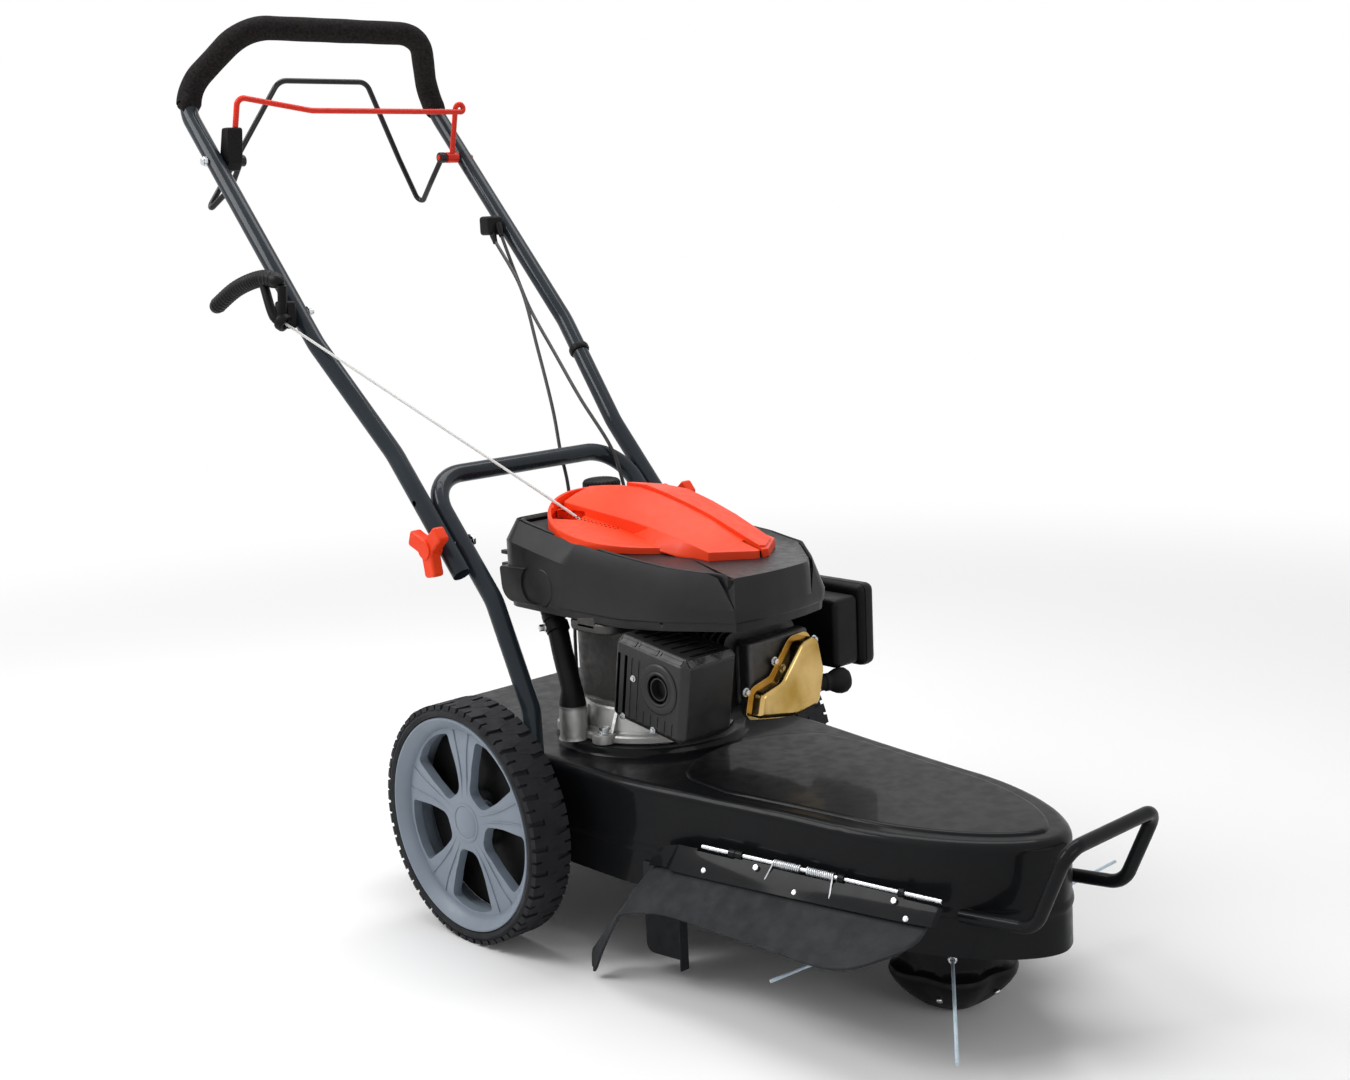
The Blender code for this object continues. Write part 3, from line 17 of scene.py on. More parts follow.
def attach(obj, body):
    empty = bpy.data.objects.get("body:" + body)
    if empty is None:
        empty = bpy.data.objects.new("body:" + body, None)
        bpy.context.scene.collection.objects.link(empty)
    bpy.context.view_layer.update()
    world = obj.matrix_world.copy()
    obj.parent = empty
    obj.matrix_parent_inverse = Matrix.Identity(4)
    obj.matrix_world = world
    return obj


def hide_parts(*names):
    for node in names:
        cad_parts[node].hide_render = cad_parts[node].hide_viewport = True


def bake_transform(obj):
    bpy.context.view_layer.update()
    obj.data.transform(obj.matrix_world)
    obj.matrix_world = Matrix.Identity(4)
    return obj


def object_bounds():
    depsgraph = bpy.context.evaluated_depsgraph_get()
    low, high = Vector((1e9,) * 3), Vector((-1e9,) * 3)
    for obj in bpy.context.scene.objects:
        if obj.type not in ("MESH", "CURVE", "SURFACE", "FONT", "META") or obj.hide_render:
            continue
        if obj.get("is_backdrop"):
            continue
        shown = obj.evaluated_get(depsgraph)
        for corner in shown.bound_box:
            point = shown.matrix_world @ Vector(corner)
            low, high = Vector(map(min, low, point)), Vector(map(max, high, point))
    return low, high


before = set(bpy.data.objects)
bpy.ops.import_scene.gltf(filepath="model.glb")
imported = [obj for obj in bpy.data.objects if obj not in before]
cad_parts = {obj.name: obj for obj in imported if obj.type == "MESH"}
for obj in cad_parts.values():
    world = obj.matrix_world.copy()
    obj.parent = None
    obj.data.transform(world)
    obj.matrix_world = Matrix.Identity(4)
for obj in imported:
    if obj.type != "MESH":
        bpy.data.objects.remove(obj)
cad_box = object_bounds()
bpy.ops.object.select_all(action="DESELECT")

# %% [markdown]
# ## Camera, floor and light
#
# The picture was taken from the machine's right front, a little above the engine, with a short tele lens
# that was not quite level. The camera is placed by those four facts: where it stood, which way it looked,
# how far it was tilted, and its lens. Nothing is shifted, so other views can reuse the same camera.

# %% Camera
UP = Vector((0, 0, 1))
CAMERA_PLACE = Vector((-1.4545, -1.1437, 0.8731))
AZIMUTH = radians(42.983)
ELEVATION = radians(10.524)
TILT = radians(-2.636)

backwards = Vector((-sin(AZIMUTH) * cos(ELEVATION), -cos(AZIMUTH) * cos(ELEVATION), sin(ELEVATION)))
level_right = (-backwards).cross(UP).normalized()
level_up = level_right.cross(-backwards)
right = level_right * cos(TILT) + level_up * sin(TILT)
up = level_up * cos(TILT) - level_right * sin(TILT)
bpy.ops.object.camera_add(location=CAMERA_PLACE)
camera = bpy.context.active_object
camera.name = "camera"
camera.matrix_world = Matrix((
    (right.x, up.x, backwards.x, CAMERA_PLACE.x),
    (right.y, up.y, backwards.y, CAMERA_PLACE.y),
    (right.z, up.z, backwards.z, CAMERA_PLACE.z),
    (0, 0, 0, 1),
))
camera.data.sensor_width = 36
camera.data.lens = 47.02
camera.data.clip_start = 0.05
camera.data.clip_end = 200
bpy.context.scene.camera = camera
bpy.context.scene.view_settings.view_transform = "Standard"
print("camera:", round(camera.data.lens, 1), "mm at", [round(x, 2) for x in CAMERA_PLACE])

# %% [markdown]
# The floor and the backdrop are white paper. A sheet of floor catches the soft shadow under the machine,
# and fades into the same white as the world further out, so that no horizon line shows. The fade is a
# ring read from the floor's own coordinates, and the white is seen by the camera and by reflections alike.

# %% Floor and world
FLOOR_FADE = (1.1, 3.2)
WORLD_GLOW = 0.4
WHITE = (1, 1, 1, 1)


def wired(tree, kind, inputs, **settings):
    """A new shader node. Each input is a value, or the output of another node to link from."""
    node = tree.nodes.new("ShaderNode" + kind)
    for setting, value in settings.items():
        setattr(node, setting, value)
    for socket, value in inputs.items():
        if isinstance(value, bpy.types.NodeSocket):
            tree.links.new(value, node.inputs[socket])
        else:
            node.inputs[socket].default_value = value
    return node


def seen_directly(tree):
    """1 for rays that look at the paper, straight on or in a reflection, and 0 for its own light."""
    rays = wired(tree, "LightPath", {})
    total = rays.outputs["Is Camera Ray"]
    for other in ("Is Glossy Ray", "Is Transmission Ray"):
        total = wired(tree, "Math", {0: total, 1: rays.outputs[other]}, operation="MAXIMUM").outputs[0]
    return total


def paper_world():
    world = bpy.data.worlds.new("paper")
    bpy.context.scene.world = world
    world.use_nodes = True
    tree = world.node_tree
    glow = tree.nodes["Background"]
    glow.inputs["Color"].default_value = WHITE
    glow.inputs["Strength"].default_value = WORLD_GLOW
    paper = wired(tree, "Background", {"Color": WHITE, "Strength": 1})
    either = wired(tree, "MixShader", {"Fac": seen_directly(tree), 1: glow.outputs[0], 2: paper.outputs[0]})
    tree.links.new(either.outputs[0], tree.nodes["World Output"].inputs["Surface"])


def paper_floor():
    bpy.ops.mesh.primitive_circle_add(vertices=96, radius=30, fill_type="NGON", location=(0, 0.4, -0.0005))
    floor = bpy.context.active_object
    floor.name = "floor"
    material = bpy.data.materials.new("floor_paper")
    material.use_nodes = True
    tree = material.node_tree
    shader = tree.nodes["Principled BSDF"]
    shader.inputs["Base Color"].default_value = (0.93, 0.93, 0.93, 1)
    shader.inputs["Roughness"].default_value = 1
    shader.inputs["Specular IOR Level"].default_value = 0
    place = wired(tree, "TexCoord", {})
    reach = wired(tree, "VectorMath", {0: place.outputs["Object"]}, operation="LENGTH")
    fade = {"Value": reach.outputs["Value"], "From Min": FLOOR_FADE[0], "From Max": FLOOR_FADE[1]}
    ring = wired(tree, "MapRange", fade, interpolation_type="SMOOTHSTEP")
    faded = wired(tree, "Math", {0: ring.outputs["Result"], 1: seen_directly(tree)}, operation="MULTIPLY")
    white = wired(tree, "Emission", {"Strength": 1})
    either = wired(tree, "MixShader", {"Fac": faded.outputs[0], 1: shader.outputs[0], 2: white.outputs[0]})
    tree.links.new(either.outputs[0], tree.nodes["Material Output"].inputs["Surface"])
    floor.data.materials.append(material)
    floor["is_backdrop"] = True


paper_world()
paper_floor()

# %% [markdown]
# Three soft boxes light it as in a small studio: a wide one overhead and a little behind, which draws the
# long highlights on the deck's rolled edge; one high at the left rear, which is mirrored in the shroud's
# bevelled band; and a mild one in front for the nose. They are large, so that shadows stay soft.

# %% Lamps
def soft_box(name, place, target, size, power):
    bpy.ops.object.light_add(type="AREA", location=place)
    lamp = bpy.context.active_object
    lamp.name = name
    lamp.data.shape = "RECTANGLE"
    lamp.data.size, lamp.data.size_y = size
    lamp.data.energy = power
    lamp.rotation_euler = (Vector(target) - Vector(place)).to_track_quat("-Z", "Y").to_euler()


soft_box("overhead_box", (0.5, 1.1, 2.9), (0, 0.4, 0.4), (2.6, 1.2), 50)
soft_box("left_box", (-1.8, 1.75, 2.45), (-0.1, 0.4, 0.4), (1.4, 1.4), 50)
soft_box("front_box", (-0.4, -2.8, 1.3), (0, 0.2, 0.3), (1.8, 0.9), 13)

# %% [markdown]
# ## Finishes
#
# Every finish is one Principled shader plus a few patterns that read the piece's own Object coordinates,
# in metres. A scale of 600 therefore means details of about a millimetre and a half. Each pattern does one
# job: it varies the colour, varies the gloss, or raises a fine relief. Small helpers wire them up.

# %% Helpers for finishes
MIDDLE = (0.35, 0.65)


def finish(name, colour, roughness, metallic=0, **sockets):
    """A Principled material. Other sockets are given by name, with _ for a space."""
    material = bpy.data.materials.new(name)
    material.use_nodes = True
    shader = material.node_tree.nodes["Principled BSDF"]
    shader.inputs["Base Color"].default_value = (*colour, 1)
    shader.inputs["Roughness"].default_value = roughness
    shader.inputs["Metallic"].default_value = metallic
    for socket, value in sockets.items():
        shader.inputs[socket.replace("_", " ")].default_value = value
    return material


def shader_of(material):
    return material.node_tree.nodes["Principled BSDF"]


def pattern(material, scale, detail=3, kind="TexNoise"):
    """A noise or cell pattern, fixed to the piece."""
    tree = material.node_tree
    place = wired(tree, "TexCoord", {})
    texture = wired(tree, kind, {"Vector": place.outputs["Object"], "Scale": scale, "Detail": detail})
    return texture.outputs["Distance" if kind == "TexVoronoi" else "Fac"]


def spread(material, value, low, high, start=MIDDLE[0], end=MIDDLE[1]):
    """Maps values from start to end, or a pattern's middle values, onto a range."""
    ends = {"Value": value, "From Min": start, "From Max": end, "To Min": low, "To Max": high}
    return wired(material.node_tree, "MapRange", ends).outputs["Result"]


def two_tone(material, value, dark, light):
    """Colours the piece between two tones by a pattern."""
    ramp = wired(material.node_tree, "ValToRGB", {"Fac": value})
    for stop, position, tone in zip(ramp.color_ramp.elements, MIDDLE, (dark, light)):
        stop.position = position
        stop.color = (*tone, 1)
    material.node_tree.links.new(ramp.outputs["Color"], shader_of(material).inputs["Base Color"])


def gloss_varies(material, value, low, high):
    material.node_tree.links.new(spread(material, value, low, high), shader_of(material).inputs["Roughness"])


def relief(material, value, depth):
    """Raises the surface by a pattern, depth metres at most, on top of any relief that is there."""
    normal = shader_of(material).inputs["Normal"]
    inputs = {"Height": value, "Strength": 1, "Distance": depth}
    if normal.is_linked:
        inputs["Normal"] = normal.links[0].from_socket
    bump = wired(material.node_tree, "Bump", inputs)
    material.node_tree.links.new(bump.outputs["Normal"], normal)


# %% [markdown]
# The deck, the handle tubes and the guard are powder coated. Real powder coat is a thin clear-looking
# gloss over colour with a faint orange peel, so it is made as a weak coat over a dark base: the coat gives
# the sharp highlight along each bend, and its low weight keeps flat faces dark at a glancing angle.

# %% Powder coat
def powder_coat(name, dark, light, coat, roughness):
    material = finish(name, dark, roughness, Specular_IOR_Level=0.05, Coat_Weight=coat, Coat_Roughness=0.06)
    two_tone(material, pattern(material, 7), dark, light)
    gloss_varies(material, pattern(material, 60), roughness - 0.05, roughness + 0.08)
    relief(material, pattern(material, 420, 2), 0.00006)
    return material


DECK_BLACK = powder_coat("deck_black", (0.006, 0.0065, 0.0075), (0.0085, 0.009, 0.01), 0.12, 0.34)
TUBE_BLACK = powder_coat("tube_black", (0.015, 0.02, 0.026), (0.02, 0.027, 0.034), 0.3, 0.34)
ROD_RED = powder_coat("rod_red", (0.66, 0.03, 0.014), (0.78, 0.038, 0.018), 0.25, 0.32)
ROD_BLACK = powder_coat("rod_black", (0.011, 0.011, 0.0135), (0.017, 0.017, 0.02), 0.4, 0.3)

# %% [markdown]
# Plastics differ by their grain. The red covers and knobs are nearly smooth; the grey shroud and the black
# mouldings have the fine leather-like grain that hides flow marks; the wheels are a mid grain in blue-grey.

# %% Moulded plastics
def moulding(name, dark, light, roughness, grain, depth, **sockets):
    material = finish(name, dark, roughness, **sockets)
    two_tone(material, pattern(material, 11), dark, light)
    gloss_varies(material, pattern(material, 90), roughness - 0.05, roughness + 0.06)
    relief(material, pattern(material, grain, 2), depth)
    return material


RED = moulding("cover_red", (0.84, 0.046, 0.007), (0.92, 0.058, 0.01), 0.4, 1600, 0.00003,
        Specular_IOR_Level=0.22)
SHROUD = moulding("shroud_grey", (0.0095, 0.0093, 0.0106), (0.0135, 0.0133, 0.015), 0.36, 1500, 0.0001,
        Specular_IOR_Level=0.22)
MOULDED = moulding("moulded_black", (0.0048, 0.0046, 0.005), (0.0078, 0.0076, 0.0082), 0.44, 1300, 0.00007,
        Specular_IOR_Level=0.12)
WHEEL_GREY = moulding("wheel_grey", (0.185, 0.22, 0.268), (0.212, 0.25, 0.302), 0.42, 900, 0.00005,
        Specular_IOR_Level=0.4)
CABLE = moulding("cable_black", (0.0085, 0.0085, 0.0095), (0.012, 0.012, 0.013), 0.4, 700, 0.00003,
        Specular_IOR_Level=0.35)

# %% [markdown]
# Rubber is matt and a little dusty, and the tyres show faint flow marks from the mould. The grip is
# closed-cell foam: hardly any gloss, and a skin of tiny round cells, for which a cell pattern is the
# natural source of relief.

# %% Rubber and foam
def rubber(name, dark, light, depth):
    material = finish(name, dark, 0.72, Specular_IOR_Level=0.2)
    two_tone(material, pattern(material, 22, 5), dark, light)
    gloss_varies(material, pattern(material, 45), 0.6, 0.82)
    relief(material, pattern(material, 700, 3), depth)
    return material


TYRE = rubber("tyre_rubber", (0.0125, 0.013, 0.015), (0.02, 0.0205, 0.023), 0.0001)
FLAP = rubber("flap_rubber", (0.0165, 0.0175, 0.02), (0.0225, 0.024, 0.027), 0.00018)
BOOT = rubber("boot_rubber", (0.009, 0.009, 0.0098), (0.014, 0.014, 0.015), 0.00008)

FOAM = finish("grip_foam", (0.015, 0.013, 0.013), 0.95, Specular_IOR_Level=0.1)
two_tone(FOAM, pattern(FOAM, 260, 3), (0.0105, 0.0092, 0.0092), (0.024, 0.021, 0.0205))
relief(FOAM, pattern(FOAM, 620, kind="TexVoronoi"), 0.00045)
relief(FOAM, pattern(FOAM, 60), 0.0008)

# %% [markdown]
# The metals: grey cast aluminium with its sandy skin, bright zinc on bolts and springs, and the yellow
# passivated zinc of the valve cover, whose thin film drifts between straw, green and rose. The silencer
# is hidden in a guard with matt heat-proof paint.

# %% Metals
def cast_aluminium(name, dark, light, foot_height):
    """Lighter at the foot and darker above it, changing over 2 cm up from foot_height."""
    material = finish(name, dark, 0.48, 0.85)
    tree = material.node_tree
    place = wired(tree, "TexCoord", {})
    parts = wired(tree, "SeparateXYZ", {0: place.outputs["Object"]})
    rise = spread(material, parts.outputs["Z"], 1, 0, foot_height, foot_height + 0.02)
    mixed = wired(tree, "Math", {0: pattern(material, 38, 5), 1: 0.35, 2: rise}, operation="MULTIPLY_ADD")
    two_tone(material, mixed.outputs[0], dark, light)
    gloss_varies(material, pattern(material, 120, 4), 0.4, 0.62)
    relief(material, pattern(material, 820, 4), 0.00022)
    return material


def plated_steel(name, dark, light, roughness, scale=150):
    material = finish(name, dark, roughness, 1)
    two_tone(material, pattern(material, scale, 3), dark, light)
    gloss_varies(material, pattern(material, 1.7 * scale, 3), roughness - 0.07, roughness + 0.09)
    relief(material, pattern(material, 900, 2), 0.00003)
    return material


CASTING = cast_aluminium("cast_aluminium", (0.075, 0.072, 0.07), (0.44, 0.44, 0.43), 0.262)
ZINC = plated_steel("bright_zinc", (0.5, 0.52, 0.54), (0.68, 0.7, 0.72), 0.28)
DARK_STEEL = plated_steel("oiled_steel", (0.14, 0.14, 0.14), (0.22, 0.22, 0.215), 0.42)
YELLOW_ZINC = plated_steel("yellow_zinc", (0.38, 0.235, 0.05), (0.62, 0.43, 0.17), 0.2, 16)
WORN_EDGE = plated_steel("worn_edge", (0.3, 0.29, 0.28), (0.46, 0.45, 0.44), 0.26, 25)
HEATPROOF = moulding("heatproof_black", (0.01, 0.01, 0.0108), (0.0165, 0.016, 0.0165), 0.44, 1100, 0.00009,
        Specular_IOR_Level=0.4)

# %% [markdown]
# The line is milky blue-grey nylon, which lets a little light through. The starter rope is braided from
# thin strands, so its colour and its relief are broken up in steps of about a millimetre.

# %% Nylon and rope
NYLON = finish("trimmer_nylon", (0.46, 0.55, 0.63), 0.34, Specular_IOR_Level=0.45, Subsurface_Weight=0.25,
        Subsurface_Scale=0.002)
two_tone(NYLON, pattern(NYLON, 80), (0.4, 0.5, 0.58), (0.52, 0.62, 0.7))
relief(NYLON, pattern(NYLON, 500), 0.00004)

ROPE = finish("braided_rope", (0.8, 0.8, 0.78), 0.85, Specular_IOR_Level=0.15)
two_tone(ROPE, pattern(ROPE, 1100, 2), (0.62, 0.62, 0.6), (0.88, 0.88, 0.86))
relief(ROPE, pattern(ROPE, 1100, 2), 0.00035)
print("finishes:", len(bpy.data.materials))

# %% [markdown]
# Each CAD solid first gets the finish of its own material. Those whose shape is right keep it; the others
# are replaced further on, one by one, by pieces with their real detail.

# %% Finish the CAD solids
CAD_FINISH = {"black_gloss": DECK_BLACK, "tube_blue_black": TUBE_BLACK, "red_plastic": RED,
        "red_rod": ROD_RED, "black_rod": ROD_BLACK, "foam": FOAM, "black_plastic": MOULDED,
        "shroud_grey": SHROUD, "engine_casting": CASTING, "yellow_zinc": YELLOW_ZINC, "steel": ZINC,
        "muffler_black": HEATPROOF, "wheel_grey": WHEEL_GREY, "rubber": TYRE, "nylon": NYLON, "rope": ROPE,
        "cable_black": CABLE}
OWN_FINISH = {"side_flap": FLAP, "rear_flap": FLAP, "plug_boot": BOOT, "crankshaft": DARK_STEEL,
        "engine_pulley": DARK_STEEL, "spindle_pulley": DARK_STEEL, "gearbox_pulley": DARK_STEEL,
        "head_belt": BOOT, "drive_belt": BOOT}

for name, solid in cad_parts.items():
    slot = solid.data.materials[0].name.split(".")[0]
    solid.data.materials[0] = OWN_FINISH.get(name, CAD_FINISH.get(slot, MOULDED))

# %% [markdown]
# ## Modelling helpers
#
# Every new piece starts from a Blender primitive and is shaped by edit-mode operators, as by hand. These
# helpers are the few moves that come back again and again: select one object, grow a form ring by ring,
# turn a profile, extrude an outline, sweep a round bar, cut one piece with another, and soften its edges.

# %% Select, join and finish
def only(obj):
    """Selects one object and makes it the active one, in object mode."""
    bpy.ops.object.select_all(action="DESELECT")
    obj.select_set(True)
    bpy.context.view_layer.objects.active = obj
    return obj


def settled(obj):
    """Applies the piece's place, turn and size to its mesh."""
    only(obj)
    bpy.ops.object.transform_apply(location=True, rotation=True, scale=True)
    return obj


def applied(obj):
    """Applies the piece's modifiers, in order."""
    only(obj)
    for modifier in list(obj.modifiers):
        bpy.ops.object.modifier_apply(modifier=modifier.name)
    return obj


def edit_everything():
    """Enters edit mode with the whole mesh selected."""
    bpy.ops.object.mode_set(mode="EDIT")
    bpy.ops.mesh.select_all(action="SELECT")


def outward(obj):
    """Merges doubled points, and turns every face outwards."""
    only(obj)
    edit_everything()
    bpy.ops.mesh.remove_doubles(threshold=0.000002)
    bpy.ops.mesh.normals_make_consistent(inside=False)
    bpy.ops.object.mode_set(mode="OBJECT")
    return obj


def softened(obj, width, segments=2, angle=30):
    """Rounds the edges that turn more sharply than angle, as a mould or a press leaves them."""
    bevel = obj.modifiers.new("edges", "BEVEL")
    bevel.width = width
    bevel.segments = segments
    bevel.limit_method = "ANGLE"
    bevel.angle_limit = radians(angle)
    return applied(obj)


def joined(*objects):
    """Several pieces as one mesh."""
    bpy.ops.object.select_all(action="DESELECT")
    for obj in objects:
        obj.select_set(True)
    bpy.context.view_layer.objects.active = objects[0]
    bpy.ops.object.join()
    return objects[0]


def copied(obj):
    """A copy with its own mesh."""
    only(obj)
    bpy.ops.object.duplicate()
    return bpy.context.active_object


def mirrored_copy(obj):
    """The piece's mirror image across the middle of the machine, facing outwards."""
    other = copied(obj)
    other.scale.x = -1
    return outward(settled(other))


def dressed(obj, name, material, body, stands_for=(), sharp=35):
    """Names a finished piece, gives it its material and lets it ride on its body, where it has one."""
    obj.name = name
    obj.data.name = name
    obj.data.materials.clear()
    obj.data.materials.append(material)
    settled(obj)
    bpy.ops.object.shade_smooth_by_angle(angle=radians(sharp))
    weighted = obj.modifiers.new("flat faces stay flat", "WEIGHTED_NORMAL")
    weighted.keep_sharp = True
    applied(obj)
    if body:
        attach(obj, body)
    if stands_for:
        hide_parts(*stands_for)
    print(f"{name}: {len(obj.data.polygons)} faces on {body or 'a joint'}")
    return obj


# %% Grow, turn, extrude and sweep
PLACE = {"X": lambda a, b, along: Vector((along, a, b)), "Y": lambda a, b, along: Vector((a, along, b)),
        "Z": lambda a, b, along: Vector((a, b, along))}


def ring_of_points(points, filled):
    """A circle primitive with one point for each given point, drawn out to them."""
    bpy.ops.mesh.primitive_circle_add(vertices=len(points), fill_type="NGON" if filled else "NOTHING")
    obj = bpy.context.active_object
    for vertex, point in zip(obj.data.vertices, points):
        vertex.co = point
    return obj


def grown(rings):
    """A form grown from its first ring by extruding the open edge to each next ring in turn."""
    obj = ring_of_points(rings[0], True)
    bpy.ops.object.mode_set(mode="EDIT")
    bpy.ops.mesh.select_mode(type="EDGE")
    bpy.ops.mesh.select_all(action="SELECT")
    for ring in rings[1:]:
        bpy.ops.mesh.extrude_edges_move()
        mesh = bmesh.from_edit_mesh(obj.data)
        mesh.verts.ensure_lookup_table()
        count = len(ring)
        if len(mesh.verts) == 2 * count:
            order = list(range(count))
        after = []
        for place in order:
            vertex = mesh.verts[place]
            new = next(e.other_vert(vertex) for e in vertex.link_edges if e.other_vert(vertex).select
                    and e.other_vert(vertex).index >= len(mesh.verts) - count)
            after.append(new)
        for vertex, point in zip(after, ring):
            vertex.co = point
        order = [vertex.index for vertex in after]
        bmesh.update_edit_mesh(obj.data)
    bpy.ops.mesh.edge_face_add()
    bpy.ops.object.mode_set(mode="OBJECT")
    return outward(obj)


def turned(profile, centre, axis="Z", steps=48):
    """A closed profile of (radius, height) points spun once round an axis through centre."""
    obj = ring_of_points([PLACE[axis](r, 0, h) + Vector(centre) for r, h in profile], False)
    edit_everything()
    bpy.ops.mesh.spin(steps=steps, angle=2 * pi, center=centre, axis=PLACE[axis](0, 0, 1))
    bpy.ops.object.mode_set(mode="OBJECT")
    outward(obj)
    edit_everything()
    bpy.ops.mesh.dissolve_degenerate(threshold=0.000003)
    bpy.ops.object.mode_set(mode="OBJECT")
    return obj


def extruded(outline, axis, low, high):
    """A flat outline in the other two axes, filled and extruded from low to high along axis."""
    obj = ring_of_points([PLACE[axis](a, b, low) for a, b in outline], True)
    edit_everything()
    bpy.ops.mesh.extrude_region_move(TRANSFORM_OT_translate={"value": PLACE[axis](0, 0, high - low)})
    bpy.ops.object.mode_set(mode="OBJECT")
    return outward(obj)


def swept(points, radius, sides=16, capped=True, radii=None):
    """A round bar, tube or cord: a curve with a round bevel along the points, made a mesh."""
    bpy.ops.curve.primitive_nurbs_path_add()
    obj = bpy.context.active_object
    curve = obj.data
    curve.splines.clear()
    curve.dimensions = "3D"
    curve.bevel_depth = radius
    curve.bevel_resolution = (sides - 4) // 2
    curve.use_fill_caps = capped
    line = curve.splines.new("POLY")
    line.points.add(len(points) - 1)
    for place, point in zip(line.points, points):
        place.co = (*point, 1)
    if radii:
        for place, share in zip(line.points, radii):
            place.radius = share
    only(obj)
    bpy.ops.object.convert(target="MESH")
    return outward(bpy.context.active_object)


def flat_faced(obj):
    """Splits a piece's faces into triangles where some aren't flat, because a boolean needs flat ones."""
    mesh = obj.data
    if any(abs((mesh.vertices[v].co - face.center).dot(face.normal)) > 0.000001 for face in mesh.polygons
            if face.loop_total > 3 for v in face.vertices):
        obj.modifiers.new("triangles", "TRIANGULATE")
        applied(obj)
    return obj


SHARE_KEPT = {"DIFFERENCE": 0.3, "UNION": 0.6, "INTERSECT": 0.02}
MOST_TRIES = 8


def combined(obj, tool, operation="DIFFERENCE"):
    """The piece cut by a tool, joined with it or kept inside it.

    Now and then the exact solver returns almost nothing, so such a result is dropped and made again."""
    flat_faced(tool)
    flat_faced(obj)
    before = obj.data.copy()
    surface = sum(face.area for face in before.polygons)
    for _ in range(MOST_TRIES):
        boolean = obj.modifiers.new("operation", "BOOLEAN")
        boolean.operation = operation
        boolean.solver = "EXACT"
        boolean.object = tool
        applied(obj)
        if sum(face.area for face in obj.data.polygons) > SHARE_KEPT[operation] * surface:
            break
        print("the solver dropped", obj.name, "so the step is made again")
        obj.data = before.copy()
    bpy.data.objects.remove(tool)
    return obj


def bar(start, end, radius, steps=24, width=0, segments=2):
    """A cylinder primitive between two points, with rounded rims where width is given."""
    start, end = Vector(start), Vector(end)
    depth = (end - start).length
    bpy.ops.mesh.primitive_cylinder_add(vertices=steps, radius=radius, depth=depth,
            location=(start + end) / 2)
    obj = bpy.context.active_object
    obj.rotation_euler = (end - start).to_track_quat("Z", "Y").to_euler()
    settled(obj)
    return softened(obj, width, segments) if width else obj


def cross_bar(centre, start, end, *sizes):
    """A bar along x through a point, from one x to another."""
    return bar((start, centre.y, centre.z), (end, centre.y, centre.z), *sizes)


def block(low, high, width=0, segments=2):
    """A cube primitive between two corners, with rounded edges."""
    low, high = Vector(low), Vector(high)
    bpy.ops.mesh.primitive_cube_add(size=1, location=(low + high) / 2)
    obj = bpy.context.active_object
    obj.scale = high - low
    settled(obj)
    return softened(obj, width, segments) if width else obj


# %% [markdown]
# Tubes and rods are drawn as the bender is told to bend them: straight runs, a corner point for each bend,
# and a radius. The corner is replaced by a true arc in small steps. A smooth run through loose points
# serves for cords and for shapes without straight parts.

# %% Lines
FINE_STEPS = 40


def bent_line(corners, radii, step=6):
    corners = [Vector(point) for point in corners]
    line = [corners[0]]
    for before, corner, after, radius in zip(corners, corners[1:], corners[2:], radii):
        back = (before - corner).normalized()
        ahead = (after - corner).normalized()
        half = back.angle(ahead) / 2
        reach = radius / tan(half)
        centre = corner + (back + ahead).normalized() * (radius / sin(half))
        first = (corner + back * reach - centre).normalized()
        last = (corner + ahead * reach - centre).normalized()
        steps = max(2, ceil(degrees(first.angle(last)) / step))
        line += [centre + first.slerp(last, k / steps) * radius for k in range(steps + 1)]
    return line + [corners[-1]]


def through(a, b, c, d, t):
    """A point on the smooth curve from b to c that comes from a and goes on to d."""
    return 0.5 * (2 * b + (c - a) * t + (2 * a - 5 * b + 4 * c - d) * t * t + (3 * b - a - 3 * c + d)
            * t ** 3)


def smooth_line(points, spacing):
    knots = [Vector(p) for p in points]
    ends = [2 * knots[0] - knots[1], *knots, 2 * knots[-1] - knots[-2]]
    fine = []
    for a, b, c, d in zip(ends, ends[1:], ends[2:], ends[3:]):
        fine += [through(a, b, c, d, k / FINE_STEPS) for k in range(FINE_STEPS)]
    fine.append(knots[-1])
    line = [fine[0]]
    walked = 0
    for a, b in zip(fine, fine[1:]):
        walked += (b - a).length
        if walked >= spacing:
            line.append(b)
            walked = 0
    if (line[-1] - fine[-1]).length < spacing / 2:
        line.pop()
    return line + [fine[-1]]


def bent_over(half, radii, step=6):
    """A bent line that runs up one side of the machine and comes down the other in mirror image."""
    half = [Vector(p) for p in half]
    return bent_line(half + [Vector((-p.x, p.y, p.z)) for p in reversed(half)], radii + radii[::-1], step)


def rounded(corners, radii, step=15):
    """A closed flat outline with each corner rounded on its own radius."""
    count = len(corners)
    outline = []
    for i in range(count):
        a, b, c = (Vector((*corners[(i + k) % count], 0)) for k in (-1, 0, 1))
        outline += [(p.x, p.y) for p in bent_line([a, b, c], [radii[i]], step)[1:-1]]
    return outline

# %% [markdown]
# ## The handle
#
# Both handles are drawn steel tube, 24 mm across with a 1.5 mm wall, powder coated in blue-black. Seen from
# the side the straight part stands at 48 degrees, so points on it are given by their distance along it. A
# curve with a round bevel is the natural way to sweep a tube; it is left open at its ends and given its
# wall afterwards, so that one sees into it there. Pieces that meet leave 0.3 mm of play between them.

# %% Handle tubes
AXLE_Y = 0.551


def at(x, y, z):
    """A point whose y is counted from the axle."""
    return Vector((x, AXLE_Y + y, z))


